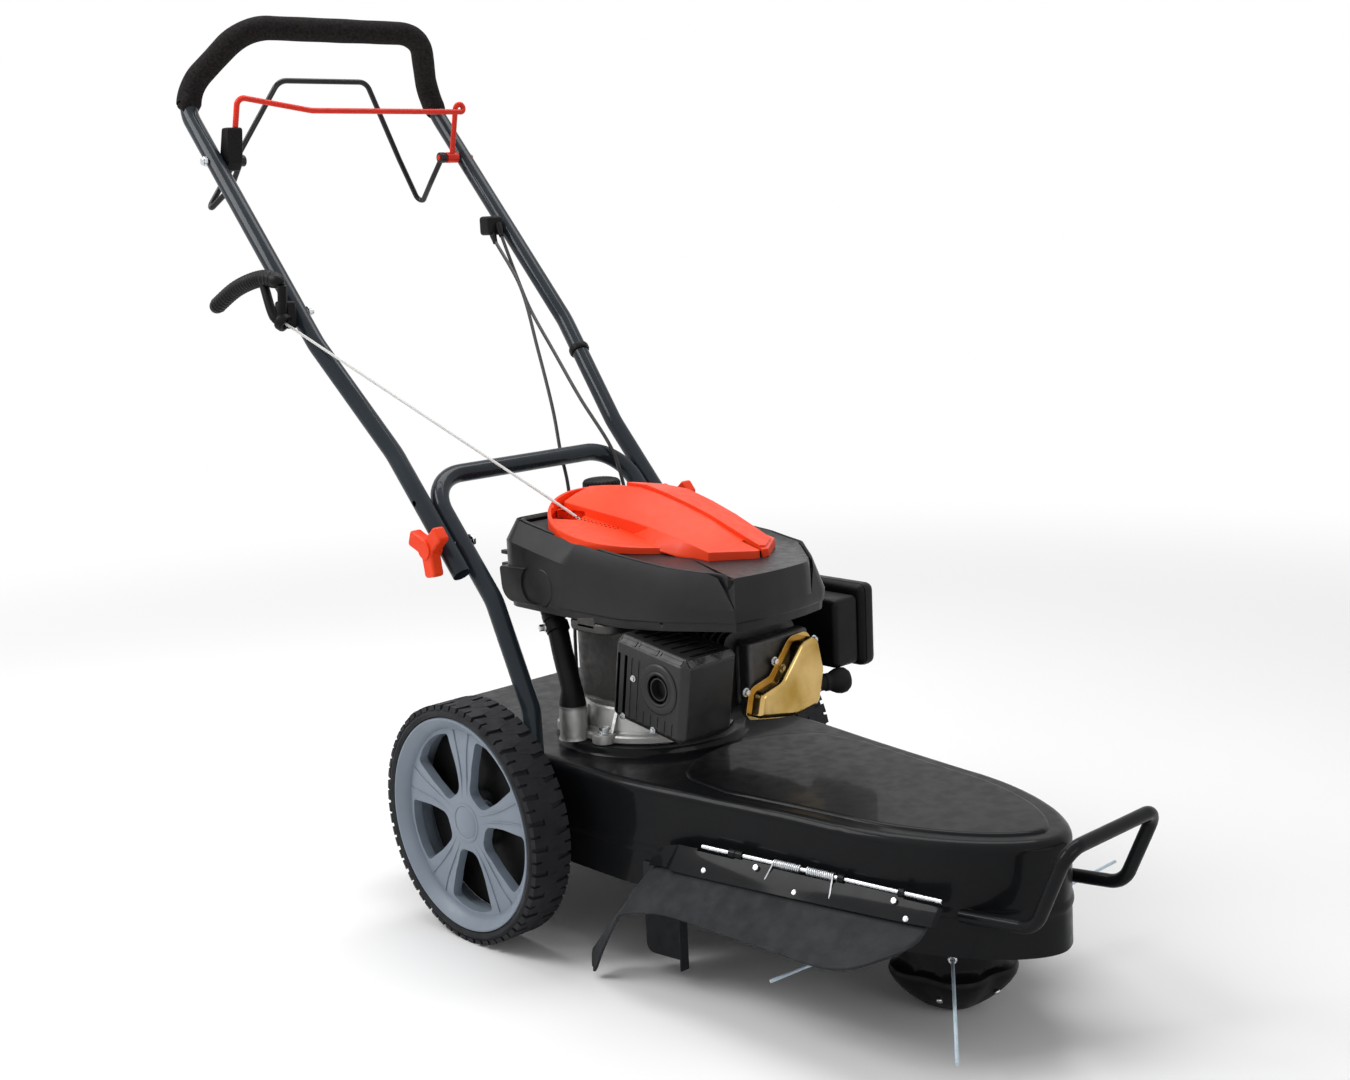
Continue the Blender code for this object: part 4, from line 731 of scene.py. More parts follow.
TUBE_R = 0.012
TUBE_WALL = 0.0015
PLAY = 0.0003
LOWER_HALF = 0.1627
UPPER_HALF_LOW = LOWER_HALF + 2 * TUBE_R + PLAY
UPPER_HALF = 0.2115
DECK_HALF = 0.165
HANDLE_SLOPE = radians(48.1)
CLAMP_S = -0.068
BAIL_S = 0.5945
GUIDE_S = 0.32
GRIP_S = 0.7171


def on_handle(s, x=0):
    """A point s along the straight part of the handle."""
    return at(x, 0.1306, 0.5275) + Vector((0, cos(HANDLE_SLOPE), sin(HANDLE_SLOPE))) * s


def upper_line(step=6):
    half = [on_handle(-0.113, -UPPER_HALF_LOW), on_handle(0.078, -UPPER_HALF_LOW),
            on_handle(0.2655, -UPPER_HALF), on_handle(GRIP_S, -UPPER_HALF), at(-0.1468, 0.5292, 1.15)]
    radii = [0.12, 0.12, 0.0525, 0.066]
    return bent_over(half, radii, step)


def lower_line():
    foot_x = DECK_HALF + PLAY + TUBE_R
    half = [at(-foot_x, -0.078, 0.128), at(-foot_x, -0.055, 0.23), at(-LOWER_HALF, -0.036, 0.28),
            on_handle(-0.158, -LOWER_HALF), on_handle(0.034, -LOWER_HALF)]
    radii = [0.06, 0.06, 0.06, 0.055]
    return bent_over(half, radii)


def walled(tube, wall):
    thick = tube.modifiers.new("wall", "SOLIDIFY")
    thick.thickness = wall
    thick.offset = -1
    return applied(tube)


def drilled(tube, s, radius, low=-0.3, high=0.3):
    """A hole through the tube, square to the handle's sides."""
    return combined(tube, bar(on_handle(s, low), on_handle(s, high), radius, 16))


upper = walled(swept(upper_line(), TUBE_R, 20, capped=False), TUBE_WALL)
for s, radius in ((CLAMP_S, 0.0045), (BAIL_S, 0.0045), (0, 0.004)):
    drilled(upper, s, radius)
drilled(upper, GUIDE_S, 0.0045, -0.3, -0.19)
dressed(upper, "upper_tube", TUBE_BLACK, "handle", ["upper_handle"])

lower = walled(swept(lower_line(), TUBE_R, 20, capped=False), TUBE_WALL)
drilled(lower, CLAMP_S, 0.0044)
dressed(lower, "lower_tube", TUBE_BLACK, "chassis", ["lower_handle"])

# %% [markdown]
# The grip is a foam sleeve pushed over the bend from both ends, so it is slightly fuller in the straight
# part and its ends are cut square with a small round. The sleeve is one bar whose radius swells and
# closes along its length.

# %% Foam grip
def foam_line():
    line = upper_line(4)
    start = next(i for i, p in enumerate(line) if p.z > 1.046)
    end = len(line) - start
    first = line[start - 1].lerp(line[start], (1.048 - line[start - 1].z)
            / (line[start].z - line[start - 1].z))
    last = Vector((-first.x, first.y, first.z))
    line = [first, *line[start:end], last]
    fine = [line[0]]
    for a, b in zip(line, line[1:]):
        pieces = max(1, round((b - a).length / 0.006))
        fine += [a.lerp(b, k / pieces) for k in range(1, pieces + 1)]
    return fine


def foam_sleeve():
    line = foam_line()
    count = len(line)
    shares = []
    for i in range(count):
        near_end = min(i, count - 1 - i)
        close = {0: 0.93, 1: 0.985}.get(near_end, 1)
        shares.append(close * (1 + 0.01 * sin(i * 0.55) + 0.008 * sin(i * 0.23 + 1)))
    sleeve = swept(line, 0.0167, 24, capped=True, radii=shares)
    return dressed(sleeve, "foam_sleeve", FOAM, "handle", ["foam_grip"], 60)


foam_sleeve()

# %% [markdown]
# The bails are 8 mm wire in a plastic coat: red for the engine brake, black for the drive. Their ends turn
# in the tubes on round pins. The red one starts in a moulded lever at the right side, so only its wire and
# its far eye are made first, and the lever follows as a tapered block with a slot in its top.

# %% Bails
BAIL_R = 0.004
pivot = on_handle(BAIL_S)
TUBE_IN = UPPER_HALF - TUBE_R - PLAY


def red_bail_wire():
    near, far = -(UPPER_HALF - 0.0285), UPPER_HALF - 0.0225
    corners = [(near, -0.004, 0.012), (near, -0.026, 0.084), (-0.07, -0.03, 0.066),
            (far + 0.04, -0.022, 0.066), (far, -0.02, 0.08), (far, 0, -0.004)]
    corners = [(x, pivot.y + y, pivot.z + z) for x, y, z in corners]
    wire = swept(bent_line(corners, [0.01, 0.06, 0.006, 0.007]), BAIL_R, 14)
    eye = cross_bar(pivot, TUBE_IN - 0.0212, TUBE_IN, 0.008, 24, 0.0012)
    pin = cross_bar(pivot, TUBE_IN - 0.0352, UPPER_HALF + TUBE_R + 0.004, 0.004, 16, 0.0008)
    return joined(wire, eye, pin)


def bail_lever():
    outline = rounded([(pivot.y - 0.022, pivot.z + 0.044), (pivot.y - 0.004, pivot.z + 0.044),
            (pivot.y + 0.01, pivot.z - 0.002), (pivot.y + 0.004, pivot.z - 0.014),
            (pivot.y - 0.006, pivot.z - 0.014), (pivot.y - 0.015, pivot.z - 0.002)],
            [0.004, 0.004, 0.006, 0.004, 0.004, 0.006])
    lever = softened(extruded(outline, "X", -TUBE_IN, -(TUBE_IN - 0.0232)), 0.0022, 3)
    slot_box = block((-TUBE_IN + 0.007, pivot.y - 0.014, pivot.z + 0.014),
            (-TUBE_IN + 0.0165, pivot.y - 0.001, pivot.z + 0.06), 0.0015)
    lever = combined(lever, slot_box)
    pin = cross_bar(pivot, -(UPPER_HALF + TUBE_R + 0.0006), -(TUBE_IN - 0.0352), 0.004, 24, 0.0008)
    return joined(lever, pin)


def bail_nut():
    """The zinc cap nut that closes the lever's pin outside the tube."""
    side = UPPER_HALF + TUBE_R + 0.0006
    nut = cross_bar(pivot, -side, -side - 0.0045, 0.0068, 6, 0.0007)
    dome = cross_bar(pivot, -side - 0.0042, -side - 0.0072, 0.0052, 20, 0.0022, 3)
    return joined(nut, dome)


dressed(red_bail_wire(), "brake_bail", ROD_RED, "operator_bail", ["red_bail"])
dressed(bail_lever(), "brake_bail_lever", MOULDED, "operator_bail", ["bail_hub"])
dressed(bail_nut(), "brake_bail_nut", ZINC, "operator_bail")


def black_bail_wire():
    leg = -(TUBE_IN - 0.0282)
    half = [(leg, pivot.y, pivot.z), at(leg, 0.56, 0.935), at(leg - 0.015, 0.612, 0.9),
            at(leg + 0.03, 0.597, 0.972), at(-0.074, 0.571, 1.083)]
    radii = [0.02, 0.008, 0.04, 0.022]
    pieces = [swept(bent_over(half, radii), BAIL_R, 14)]
    for side in (-1, 1):
        inner, outer = side * (TUBE_IN - 0.0332), side * (TUBE_IN - 0.0237)
        pieces.append(cross_bar(pivot, inner, outer, 0.008, 24, 0.001))
    return joined(*pieces)


dressed(black_bail_wire(), "drive_bail_wire", ROD_BLACK, "drive_bail", ["black_bail"])

# %% [markdown]
# The clamping knobs are red mouldings with three blunt lobes and hollow flanks, tightened on a carriage
# bolt. The outline is drawn lobe by lobe, extruded and generously rounded, and a pad in the middle holds
# the nut. The two knobs differ only in the side on which they stand.

# %% Clamping knobs and bolts
def knob(side):
    clamp = on_handle(CLAMP_S)
    seat = UPPER_HALF_LOW + TUBE_R + PLAY
    low, high = sorted((side * (seat + 0.004), side * (seat + 0.02)))
    corners = []
    for k in range(3):
        lobe = radians(120 * k - 100)
        for aside, reach in ((-60, 0.0125), (-24, 0.0255), (-17, 0.0372), (17, 0.0372), (24, 0.0255)):
            angle = lobe + radians(aside)
            corners.append((reach * cos(angle) + clamp.y, reach * sin(angle) + clamp.z))
    body = softened(extruded(rounded(corners, [0.0045] * 15, 30), "X", low, high), 0.0032, 3, 40)
    pad_low, pad_high = side * (seat + 0.018), side * (seat + 0.0225)
    pad = cross_bar(clamp, pad_low, pad_high, 0.0118, 32, 0.001)
    neck_low, neck_high = sorted((side * seat, side * (seat + 0.006)))
    neck = cross_bar(clamp, neck_low, neck_high, 0.011, 32, 0.0012)
    return joined(body, pad, neck)


def clamp_bolt(side):
    """The bolt head inside the lower tube, its washer, and the end that shows in the knob."""
    clamp = on_handle(CLAMP_S)
    inboard = side * (LOWER_HALF - TUBE_R - PLAY)
    head = cross_bar(clamp, inboard - side * 0.0012, inboard - side * 0.006, 0.0073, 6, 0.0006)
    washer = cross_bar(clamp, inboard, inboard - side * 0.0014, 0.0088, 28, 0.0003)
    shank = cross_bar(clamp, inboard, side * (UPPER_HALF_LOW + TUBE_R + 0.0222), 0.0038, 16)
    return joined(head, washer, shank)


for side, name in ((-1, "right"), (1, "left")):
    dressed(knob(side), "clamp_knob_" + name, RED, "clamp_knob_" + name, ["knob_" + name])
    dressed(clamp_bolt(side), "clamp_bolt_" + name, ZINC, "chassis", ["handle_bolt_" + name])

# %% [markdown]
# ## The wheels
#
# The wheels are one blue-grey moulding: a deep rim with a thin outer lip, and a face set well back from it
# that is pierced by five windows, so that five broad spokes remain. Each spoke carries two fine ribs that
# spread towards the rim. The rim is turned, the windows are cut by one tool that is stepped round five
# times, and the ribs are laid on. The left wheel is made, and the right one is its mirror image.

# %% Rim and spokes
WHEEL_R = 0.15
WHEEL_OUTER_X = DECK_HALF + 0.096
TYRE_WIDTH = 0.059
FACE_X = WHEEL_OUTER_X - 0.015
WHEEL_CENTRE = Vector((0, AXLE_Y, WHEEL_R))
SPOKES = 5


def turned_in_wheel(obj, angle):
    """The piece turned about the wheel's axis."""
    obj.data.transform(Matrix.Translation(WHEEL_CENTRE) @ Matrix.Rotation(angle, 4,
            "X") @ Matrix.Translation(-WHEEL_CENTRE))
    return obj


def stepped_round(obj, count):
    """Copies of a piece in equal steps round the wheel's axis, all in one mesh."""
    step = 2 * pi / count
    return joined(obj, *[turned_in_wheel(copied(obj), step * k) for k in range(1, count)])


def rim_barrel():
    outer, inner = WHEEL_OUTER_X - 0.0018, WHEEL_OUTER_X - TYRE_WIDTH + 0.002
    profile = [(0.1298, outer - 0.0012), (0.1312, outer), (0.133, outer), (0.1338, outer - 0.001),
            (0.1338, outer - 0.006), (0.1255, outer - 0.013), (0.1238, outer - 0.02),
            (0.1238, inner + 0.016), (0.13, inner + 0.006), (0.13, inner), (0.127, inner),
            (0.1165, inner + 0.013), (0.1165, FACE_X - 0.01), (0.118, FACE_X - 0.001),
            (0.1215, FACE_X + 0.006)]
    return turned(profile, WHEEL_CENTRE, "X", 96)


def window_tool():
    """One window: well rounded at the hub, wider outwards, and following the rim there."""
    corners = [(-0.015, 0.0365), (0.015, 0.0365), (0.029, 0.068), (0.04, 0.104), (0.021, 0.112),
            (0, 0.1145), (-0.021, 0.112), (-0.04, 0.104), (-0.029, 0.068)]
    radii = [0.0145, 0.0145, 0.05, 0.006, 0.04, 0.05, 0.04, 0.006, 0.05]
    outline = rounded(corners, radii, 12)
    tool = extruded(outline, "X", FACE_X - 0.03, FACE_X + 0.01)
    tool.data.transform(Matrix.Translation(WHEEL_CENTRE))
    return tool


def spoke_face():
    profile = [(0, FACE_X - 0.0135), (0.117, FACE_X - 0.0135), (0.1185, FACE_X - 0.001),
            (0.1, FACE_X - 0.0004), (0.06, FACE_X - 0.0012), (0.025, FACE_X + 0.0008), (0, FACE_X + 0.0008)]
    face = turned(profile, WHEEL_CENTRE, "X", 90)
    tool = turned_in_wheel(window_tool(), radians(36))
    face = combined(face, stepped_round(tool, SPOKES))
    return softened(face, 0.0016, 2, 40)


def spoke_ribs():
    """Two fine ribs on a spoke, close together at the hub and spread at the rim."""
    pieces = []
    for side in (-1, 1):
        line = [(FACE_X - 0.0004, side * 0.0045, 0.03), (FACE_X - 0.0006, side * 0.0058, 0.06),
                (FACE_X - 0.0002, side * 0.0095, 0.09), (FACE_X - 0.0002, side * 0.015, 0.115)]
        pieces.append(swept([Vector(p) + WHEEL_CENTRE for p in smooth_line(line, 0.006)], 0.00105, 8))
    return stepped_round(joined(*pieces), SPOKES)


def hub():
    reach = WHEEL_OUTER_X - TYRE_WIDTH + 0.004
    profile = [(0.0085, reach), (0.019, reach), (0.0205, FACE_X - 0.012), (0.026, FACE_X - 0.002),
            (0.0245, FACE_X + 0.0014), (0.0215, FACE_X + 0.0018), (0.02, FACE_X + 0.0008),
            (0.0188, FACE_X + 0.0018), (0.012, FACE_X + 0.0034), (0, FACE_X + 0.004), (0, FACE_X - 0.006),
            (0.0085, FACE_X - 0.006)]
    return turned(profile, WHEEL_CENTRE, "X", 48)


def rim():
    return joined(rim_barrel(), spoke_face(), spoke_ribs(), hub())


# %% [markdown]
# The tyre is a band of black rubber. Its tread is cut into long blocks that start at one shoulder and stop
# past the middle, in two rows staggered by half a step, each with a short groove from its edge. One block
# is shaped and copied round. The carcass under it is a plain turned ring with round shoulders. A black
# disc of painted shade closes the wheel's inner side behind the spokes, so that its windows look dark.

# %% Tyre
BLOCKS = 30


def carcass():
    outer, inner = WHEEL_OUTER_X - 0.0006, WHEEL_OUTER_X - TYRE_WIDTH + 0.0006
    profile = [(0.1342, outer - 0.0058), (0.1352, outer - 0.0018), (0.14, outer), (0.1436, outer - 0.0016),
            (0.1462, outer - 0.006), (0.1466, outer - 0.014), (0.1466, inner + 0.014),
            (0.1462, inner + 0.006), (0.1436, inner + 0.0016), (0.14, inner), (0.1352, inner + 0.0018),
            (0.1306, inner + 0.006), (0.1245, inner + 0.017), (0.1245, outer - 0.0205),
            (0.1262, outer - 0.013)]
    return turned(profile, WHEEL_CENTRE, "X", 96)


def tread_block(outer_side):
    """A block from one shoulder to past the middle, with its flanks drawn in towards the top."""
    high, low = WHEEL_OUTER_X - 0.0014, WHEEL_OUTER_X - TYRE_WIDTH + 0.0014
    middle = (high + low) / 2
    edge = high if outer_side else low
    reach = middle - 0.0075 if outer_side else middle + 0.0075
    inward = -1 if outer_side else 1
    step = 2 * pi / BLOCKS
    # angle share of a step, distance across
    plan = [(0.02, edge), (0.4, edge), (0.405, edge + inward * 0.011), (0.5, edge + inward * 0.011),
            (0.505, edge), (0.86, edge), (0.9, edge + inward * 0.017), (0.72, reach), (0.08, reach),
            (0.1, edge + inward * 0.017)]
    rings = []
    for radius, draw in ((0.144, 0), (0.1492, 0), (0.1499, 0.0006)):
        ring = []
        for share, x in plan:
            angle = step * (0.46 + (share - 0.46) * (1 - draw * 18))
            if radius > 0.149:
                shoulder = 0.0016 if abs(x - edge) < 1e-6 else 0
                x = x + inward * shoulder
            ring.append(Vector((x, radius * cos(angle), radius * sin(angle))) + WHEEL_CENTRE)
        rings.append(ring)
    return grown(rings)


def tyre():
    outside = stepped_round(tread_block(True), BLOCKS)
    inside = turned_in_wheel(tread_block(False), pi / BLOCKS)
    return joined(carcass(), outside, stepped_round(inside, BLOCKS))


def painted_shade_disc():
    """A black disc of painted shade that closes the wheel's inner side, behind the spokes, so that the
    windows look dark.
    """
    inner = WHEEL_OUTER_X - TYRE_WIDTH
    profile = [(0.0175, inner + 0.008), (0.03, inner + 0.008), (0.04, inner + 0.014),
            (0.11, inner + 0.014), (0.118, inner + 0.009), (0.119, inner + 0.011), (0.111, inner + 0.016),
            (0.039, inner + 0.016), (0.029, inner + 0.01), (0.0175, inner + 0.01)]
    return turned(profile, WHEEL_CENTRE, "X", 72)


# The black disc inside each wheel is painted shade that darkens the windows.
left_rim, left_tyre, left_shade_disc = rim(), tyre(), painted_shade_disc()
right_rim, right_tyre, right_shade_disc = (mirrored_copy(piece) for piece in (left_rim, left_tyre, left_shade_disc))
dressed(left_shade_disc, "wheel_cover_left", MOULDED, "wheel_left")
dressed(right_shade_disc, "wheel_cover_right", MOULDED, "wheel_right")
for name, grey, black in (("right", right_rim, right_tyre), ("left", left_rim, left_tyre)):
    dressed(grey, "wheel_" + name, WHEEL_GREY, "wheel_" + name, ["wheel_rim_" + name], 40)
    dressed(black, "tyre_band_" + name, TYRE, "wheel_" + name, ["tyre_" + name], 40)

# %% [markdown]
# ## The deck
#
# The deck is pressed from 2 mm sheet: narrow sides, a long round nose, a rolled top edge, a bead round the
# lower wall that stiffens it, a raised panel on the nose and a round platform for the engine. The solid
# outer form is grown level by level from its plan, the inner form likewise one sheet thickness inside it,
# and the one is cut from the other. The plan is drawn with many more points than the CAD model has.

# %% Deck plan
DECK_TOP = 0.225
DECK_BOTTOM = 0.1
SHEET = 0.002
PLATFORM_RISE = 0.01
CRANK_Y = AXLE_Y - 0.076
CRANK = Vector((0, CRANK_Y, 0))


def inward_steps(outline):
    """Each point of a closed outline, with the step that moves its edges in by one metre there."""
    points = [Vector(p) for p in outline]
    area = sum(a.x * b.y - b.x * a.y for a, b in zip(points, points[1:] + points[:1]))
    turn = 1 if area > 0 else -1
    steps = []
    for i, point in enumerate(points):
        before = (point - points[i - 1]).normalized()
        after = (points[(i + 1) % len(points)] - point).normalized()
        along = (before + after).normalized()
        inward = Vector((-along.y, along.x)) * turn
        share = max(0.5, inward.dot(Vector((-before.y, before.x)) * turn))
        steps.append((point, inward / share))
    return steps


def moved_inwards(outline, inset):
    return [tuple(point + step * inset) for point, step in inward_steps(outline)]


def subdivided(outline, longest):
    """A closed outline with points added so that no side is longer than longest."""
    fine = []
    for a, b in zip(outline, outline[1:] + outline[:1]):
        a, b = Vector(a), Vector(b)
        parts = ceil((b - a).length / longest)
        fine += [tuple(a.lerp(b, k / parts)) for k in range(parts)]
    return fine


def deck_plan(inset=0):
    """The deck from above, from the rear right corner round the nose to the rear left."""
    rear, nose_y, nose_length = AXLE_Y + 0.253, AXLE_Y - 0.475, 0.225
    nose_half, power = DECK_HALF - 0.041, 1.75
    corner = 0.03
    half = [(DECK_HALF - corner + corner * sin(a), rear - corner + corner * cos(a))
            for a in [pi / 2 * k / 8 for k in range(9)]]
    side = [(DECK_HALF, AXLE_Y - 0.16), (DECK_HALF - 0.003, AXLE_Y - 0.22),
            (DECK_HALF - 0.021, AXLE_Y - 0.335), (nose_half + 0.005, nose_y + 0.03)]
    nose = []
    turns = 30
    for k in range(1, turns + 1):
        t = sin(pi / 2 * k / turns)
        width = nose_half * (1 - t ** power) ** (1 / power) if k < turns else 0
        nose.append((width, nose_y - nose_length * t))
    smooth_side = smooth_line([(*half[-1], 0), *[(x, y, 0) for x, y in side], (*nose[0], 0)], 0.03)
    half += [(p.x, p.y) for p in smooth_side[1:-1]] + nose
    return moved_inwards([(-x, y) for x, y in half] + [(x, y) for x, y in reversed(half[:-1])], inset)


def level(outline, height):
    return [Vector((x, y, height)) for x, y in outline]


def deck_levels(inset):
    """The wall with its bead, and the rolled edge up to the flat top."""
    top, roll = DECK_TOP - inset, 0.012 - inset
    low = DECK_BOTTOM if not inset else DECK_BOTTOM - 0.01
    levels = [level(deck_plan(inset), low)]
    for draw, height in ((0.0006, 0.136), (0.0008, 0.1405), (0, 0.143), (-0.0011, 0.1465),
            (-0.0011, 0.1495), (0, 0.153), (0.0008, 0.1555), (0.0008, 0.17)):
        levels.append(level(deck_plan(inset + draw), height))
    levels.append(level(deck_plan(inset + 0.0004), top - roll))
    for k in range(1, 7):
        angle = pi / 2 * k / 6
        levels.append(level(deck_plan(inset + 0.0004 + roll * (1 - cos(angle))),
                top - roll + roll * sin(angle)))
    return levels


def panel_plan(inset):
    """The raised panel: it follows the deck's edge, and ends behind in an arc."""
    points = [(x, y) for x, y in deck_plan(0.024 + inset) if y < AXLE_Y - 0.3]
    rear = AXLE_Y - 0.205 - inset
    for k in range(1, 24):
        angle = pi * k / 24
        points.append(((0.115 - inset) * cos(angle), rear - 0.072 * (1 - sin(angle))))
    return points


def circle_plan(radius, centre=CRANK, steps=72):
    return [(centre.x + radius * cos(2 * pi * k / steps), centre.y + radius * sin(2 * pi * k / steps))
            for k in range(steps)]


def pressed_form(inset):
    """The outer form, or the form of the hollow where inset is the sheet's thickness."""
    top = DECK_TOP - inset
    form = grown(deck_levels(inset))
    rise = PLATFORM_RISE
    radius = 0.118 - inset
    steps = [(radius + 0.0075, -0.001), (radius + 0.0062, 0.0002), (radius + 0.0048, 0.0014),
            (radius + 0.0036, 0.004), (radius + 0.0026, rise - 0.0024), (radius + 0.0016, rise - 0.0008),
            (radius, rise)]
    platform = grown([level(circle_plan(r), top + z) for r, z in steps])
    steps = [(-0.0008, -0.001), (0, 0.0003), (0.0012, 0.0016), (0.0028, 0.0026), (0.005, 0.003)]
    panel = grown([level(panel_plan(draw + inset), top + z) for draw, z in steps])
    return combined(combined(form, platform, "UNION"), panel, "UNION")


# %% [markdown]
# The openings follow: the shaft's hole under the engine, the axle holes, and the holes that the guard rod
# passes through. The guard is a 15 mm rod, bent up in front of the nose as a handhold and a bumper.

# %% Deck shell and guard rod
def guard_line():
    front = AXLE_Y - 0.757
    half = [at(-0.08, -0.628, 0.146), at(-0.08, -0.718, 0.156), (-0.08, front, 0.247)]
    return bent_over(half, [0.03, 0.022])


HINGE_BACK = Vector((-(DECK_HALF - 0.006), AXLE_Y - 0.331, 0.1722))
HINGE_FRONT = Vector((-(DECK_HALF - 0.0535), AXLE_Y - 0.623, 0.17))
HINGE_AXIS = (HINGE_FRONT - HINGE_BACK).normalized()
DECK_LUGS = ((0.115, 0.145), (0.436, 0.458), (0.868, 0.895))


def on_hinge(share):
    return HINGE_BACK.lerp(HINGE_FRONT, share)


def wall_x(y):
    """Half the deck's width at y."""
    side = sorted((py, px) for px, py in deck_plan() if px >= 0)
    for (low_y, low_x), (high_y, high_x) in zip(side, side[1:]):
        if low_y <= y <= high_y:
            return low_x + (high_x - low_x) * (y - low_y) / max(1e-9, high_y - low_y)
    return 0


def hinge_lug(start, end):
    """A folded ear on the deck's wall that carries the hinge rod."""
    low, high = on_hinge(end), on_hinge(start)
    reach = -wall_x((low.y + high.y) / 2) + 0.0015
    corners = [(low.x, low.z - 0.004), (low.x, low.z + 0.004), (reach, low.z + 0.005), (reach, low.z - 0.01)]
    arm = grown([[Vector((x, y, z)) for x, z in corners] for y in (low.y, high.y)])
    knuckle = bar(on_hinge(start), on_hinge(end), 0.005, 24, 0.0008)
    return joined(softened(arm, 0.001), knuckle)


def deck_shell():
    shell = combined(pressed_form(0), pressed_form(SHEET))
    tools = [bar((0, CRANK_Y, 0.2), (0, CRANK_Y, 0.245), 0.03, 40),
            cross_bar(WHEEL_CENTRE, -0.2, 0.2, 0.012, 32), swept(guard_line(), 0.0079, 16)]
    for tool in tools:
        shell = combined(shell, tool)
    shell = joined(shell, *[hinge_lug(start, end) for start, end in DECK_LUGS])
    return combined(shell, bar(HINGE_BACK - HINGE_AXIS * 0.02, HINGE_FRONT + HINGE_AXIS * 0.02, 0.003, 16))


dressed(deck_shell(), "deck_shell", DECK_BLACK, "chassis", ["deck"], 30)
dressed(swept(guard_line(), 0.0075, 20), "guard_rod", DECK_BLACK, "chassis", ["front_guard"],
        60)

# %% [markdown]
# ## The engine
#
# The engine is a vertical-shaft four-stroke. What one sees of it is mostly its covers. The grey shroud has a
# bevelled band along each side that ends in a point, a groove above the band, and a nose with a crease at
# each side. Its section changes along its length, so it is grown ring by ring: for every point of the plan
# a short profile gives how far in and how high each ring lies. The nose is where the band has died out.

# %% Shroud
BAND_INSET = 0.014
TIP_Y = -0.341
COVER_R = 0.118


def shroud_plan():
    corners = [(-0.129, 0.058), (-0.1315, -0.06), (-0.1285, -0.24), (-0.106, TIP_Y),
            (-0.03, TIP_Y - 0.016), (0.047, TIP_Y + 0.003), (0.112, -0.262), (0.131, -0.19),
            (0.1315, -0.06), (0.129, 0.058)]
    radii = [0.034, 0.4, 0.16, 0.003, 0.3, 0.03, 0.04, 0.06, 0.4, 0.034]
    outline = rounded(corners, radii, 8)
    return [(x, y + AXLE_Y) for x, y in subdivided(outline, 0.016)]


def rear_share(y):
    """0 at the shroud's nose, 1 at its rear, for a height y from the axle."""
    return max(0, min(1, (y + 0.33) / 0.36))


def band_top(y):
    return 0.472 + 0.033 * rear_share(y) ** 2


def seat(y):
    """The shroud's top, on which the starter cover sits."""
    return band_top(y) - 0.002 - 0.005 * rear_share(y)


def shroud_profile(x, y):
    """From the bottom edge up: how far in from the plan, and how high."""
    low = 0.433 + 0.046 * rear_share(y) ** 1.4
    high = band_top(y)
    band = max(0, min(1, (y - TIP_Y) / 0.033))
    if x > 0:
        band = max(0, min(1, (x - 0.015) / 0.03))
    base = 0.405 + 0.014 * max(0, min(1, (-0.17 - y) / 0.16))
    groove = min(1, band * 8)
    line = low + (high - 0.001 - low) * band
    inset = BAND_INSET * band
    nose = 1 - band
    return [(0.0015, base), (0, base + 0.003), (0, low), (inset, line),
            (inset + 0.0022 * groove, line - 0.004 * band + 0.0004),
            (inset + 0.0022 * groove + 0.003 * band, line - 0.004 * band + 0.0032 * nose * groove),
            (inset + 0.0055 * band, line - 0.001 * band + 0.0045 * nose * groove),
            (inset + 0.0065 * band + 0.002 * nose, high - 0.0008 - 0.0055 * nose),
            (inset + 0.0085 * band + 0.0045 * nose, high - 0.0012),
            (inset + 0.014 * band + 0.01 * nose, seat(y) + 0.001 * nose)]


def shroud_form(wall):
    plan = inward_steps(shroud_plan())
    rings = []
    for k in range(10):
        ring = []
        for point, step in plan:
            inset, height = shroud_profile(point.x, point.y - AXLE_Y)[k]
            place = point + step * (inset + wall)
            ring.append(Vector((place.x, place.y, height - (wall if k > 2 else 0.01 if wall and not k
                    else 0))))
        rings.append(ring)
    for radius in (0.096, 0.086):
        ring = []
        for point, step in plan:
            out = (point - CRANK.xy).normalized() * radius + CRANK.xy
            ring.append(Vector((out.x, out.y, seat(out.y - AXLE_Y) - wall)))
        rings.append(ring)
    return grown(rings)


def shroud():
    shell = combined(shroud_form(0), shroud_form(0.0025))
    shell = combined(shell, bar(CRANK + UP * 0.44, CRANK + UP * 0.54, 0.09, 64))
    cheek = extruded(rounded([(AXLE_Y - 0.052, 0.402), (AXLE_Y + 0.048, 0.402), (AXLE_Y + 0.052, 0.446),
            (AXLE_Y - 0.052, 0.452)], [0.025, 0.022, 0.004, 0.022]), "X", -0.1322, -0.118)
    cheek = softened(cheek, 0.0025, 3)
    finger_hole = bar(at(-0.14, -0.016, 0.4285), at(-0.1295, -0.016, 0.4285), 0.0245, 40, 0.001)
    cheek = combined(cheek, finger_hole)
    pieces = [shell, cheek]
    for height in (0.4445, 0.4605):
        pieces.append(block(at(-0.119, 0.05, height - 0.0025), at(-0.111, 0.0625, height + 0.0025), 0.0008))
    return joined(*pieces)


dressed(shroud(), "shroud", SHROUD, "chassis", ["engine_shroud"], 28)

# %% [markdown]
# The red starter cover has three forms on one another: a low round disc whose rim grows taller towards
# the rear, a wedge that rises to the middle and runs forward into a tongue, and a ridge along the tongue's
# far half. Each is grown from its own sections and joined with the rest; the first two, a little smaller,
# hollow the cover out. Where the cord comes out there is a pocket, and beside it two rows of small studs.

# %% Starter cover
COVER_WALL = 0.0025


def disc_height(y):
    knots = [(-0.2, 0.48), (-0.155, 0.4845), (-0.118, 0.4885), (-0.055, 0.4985), (-0.008, 0.505),
            (0.05, 0.5125)]
    for (y0, z0), (y1, z1) in zip(knots, knots[1:]):
        if y <= y1:
            return z0 + (z1 - z0) * (y - y0) / (y1 - y0)
    return knots[-1][1]


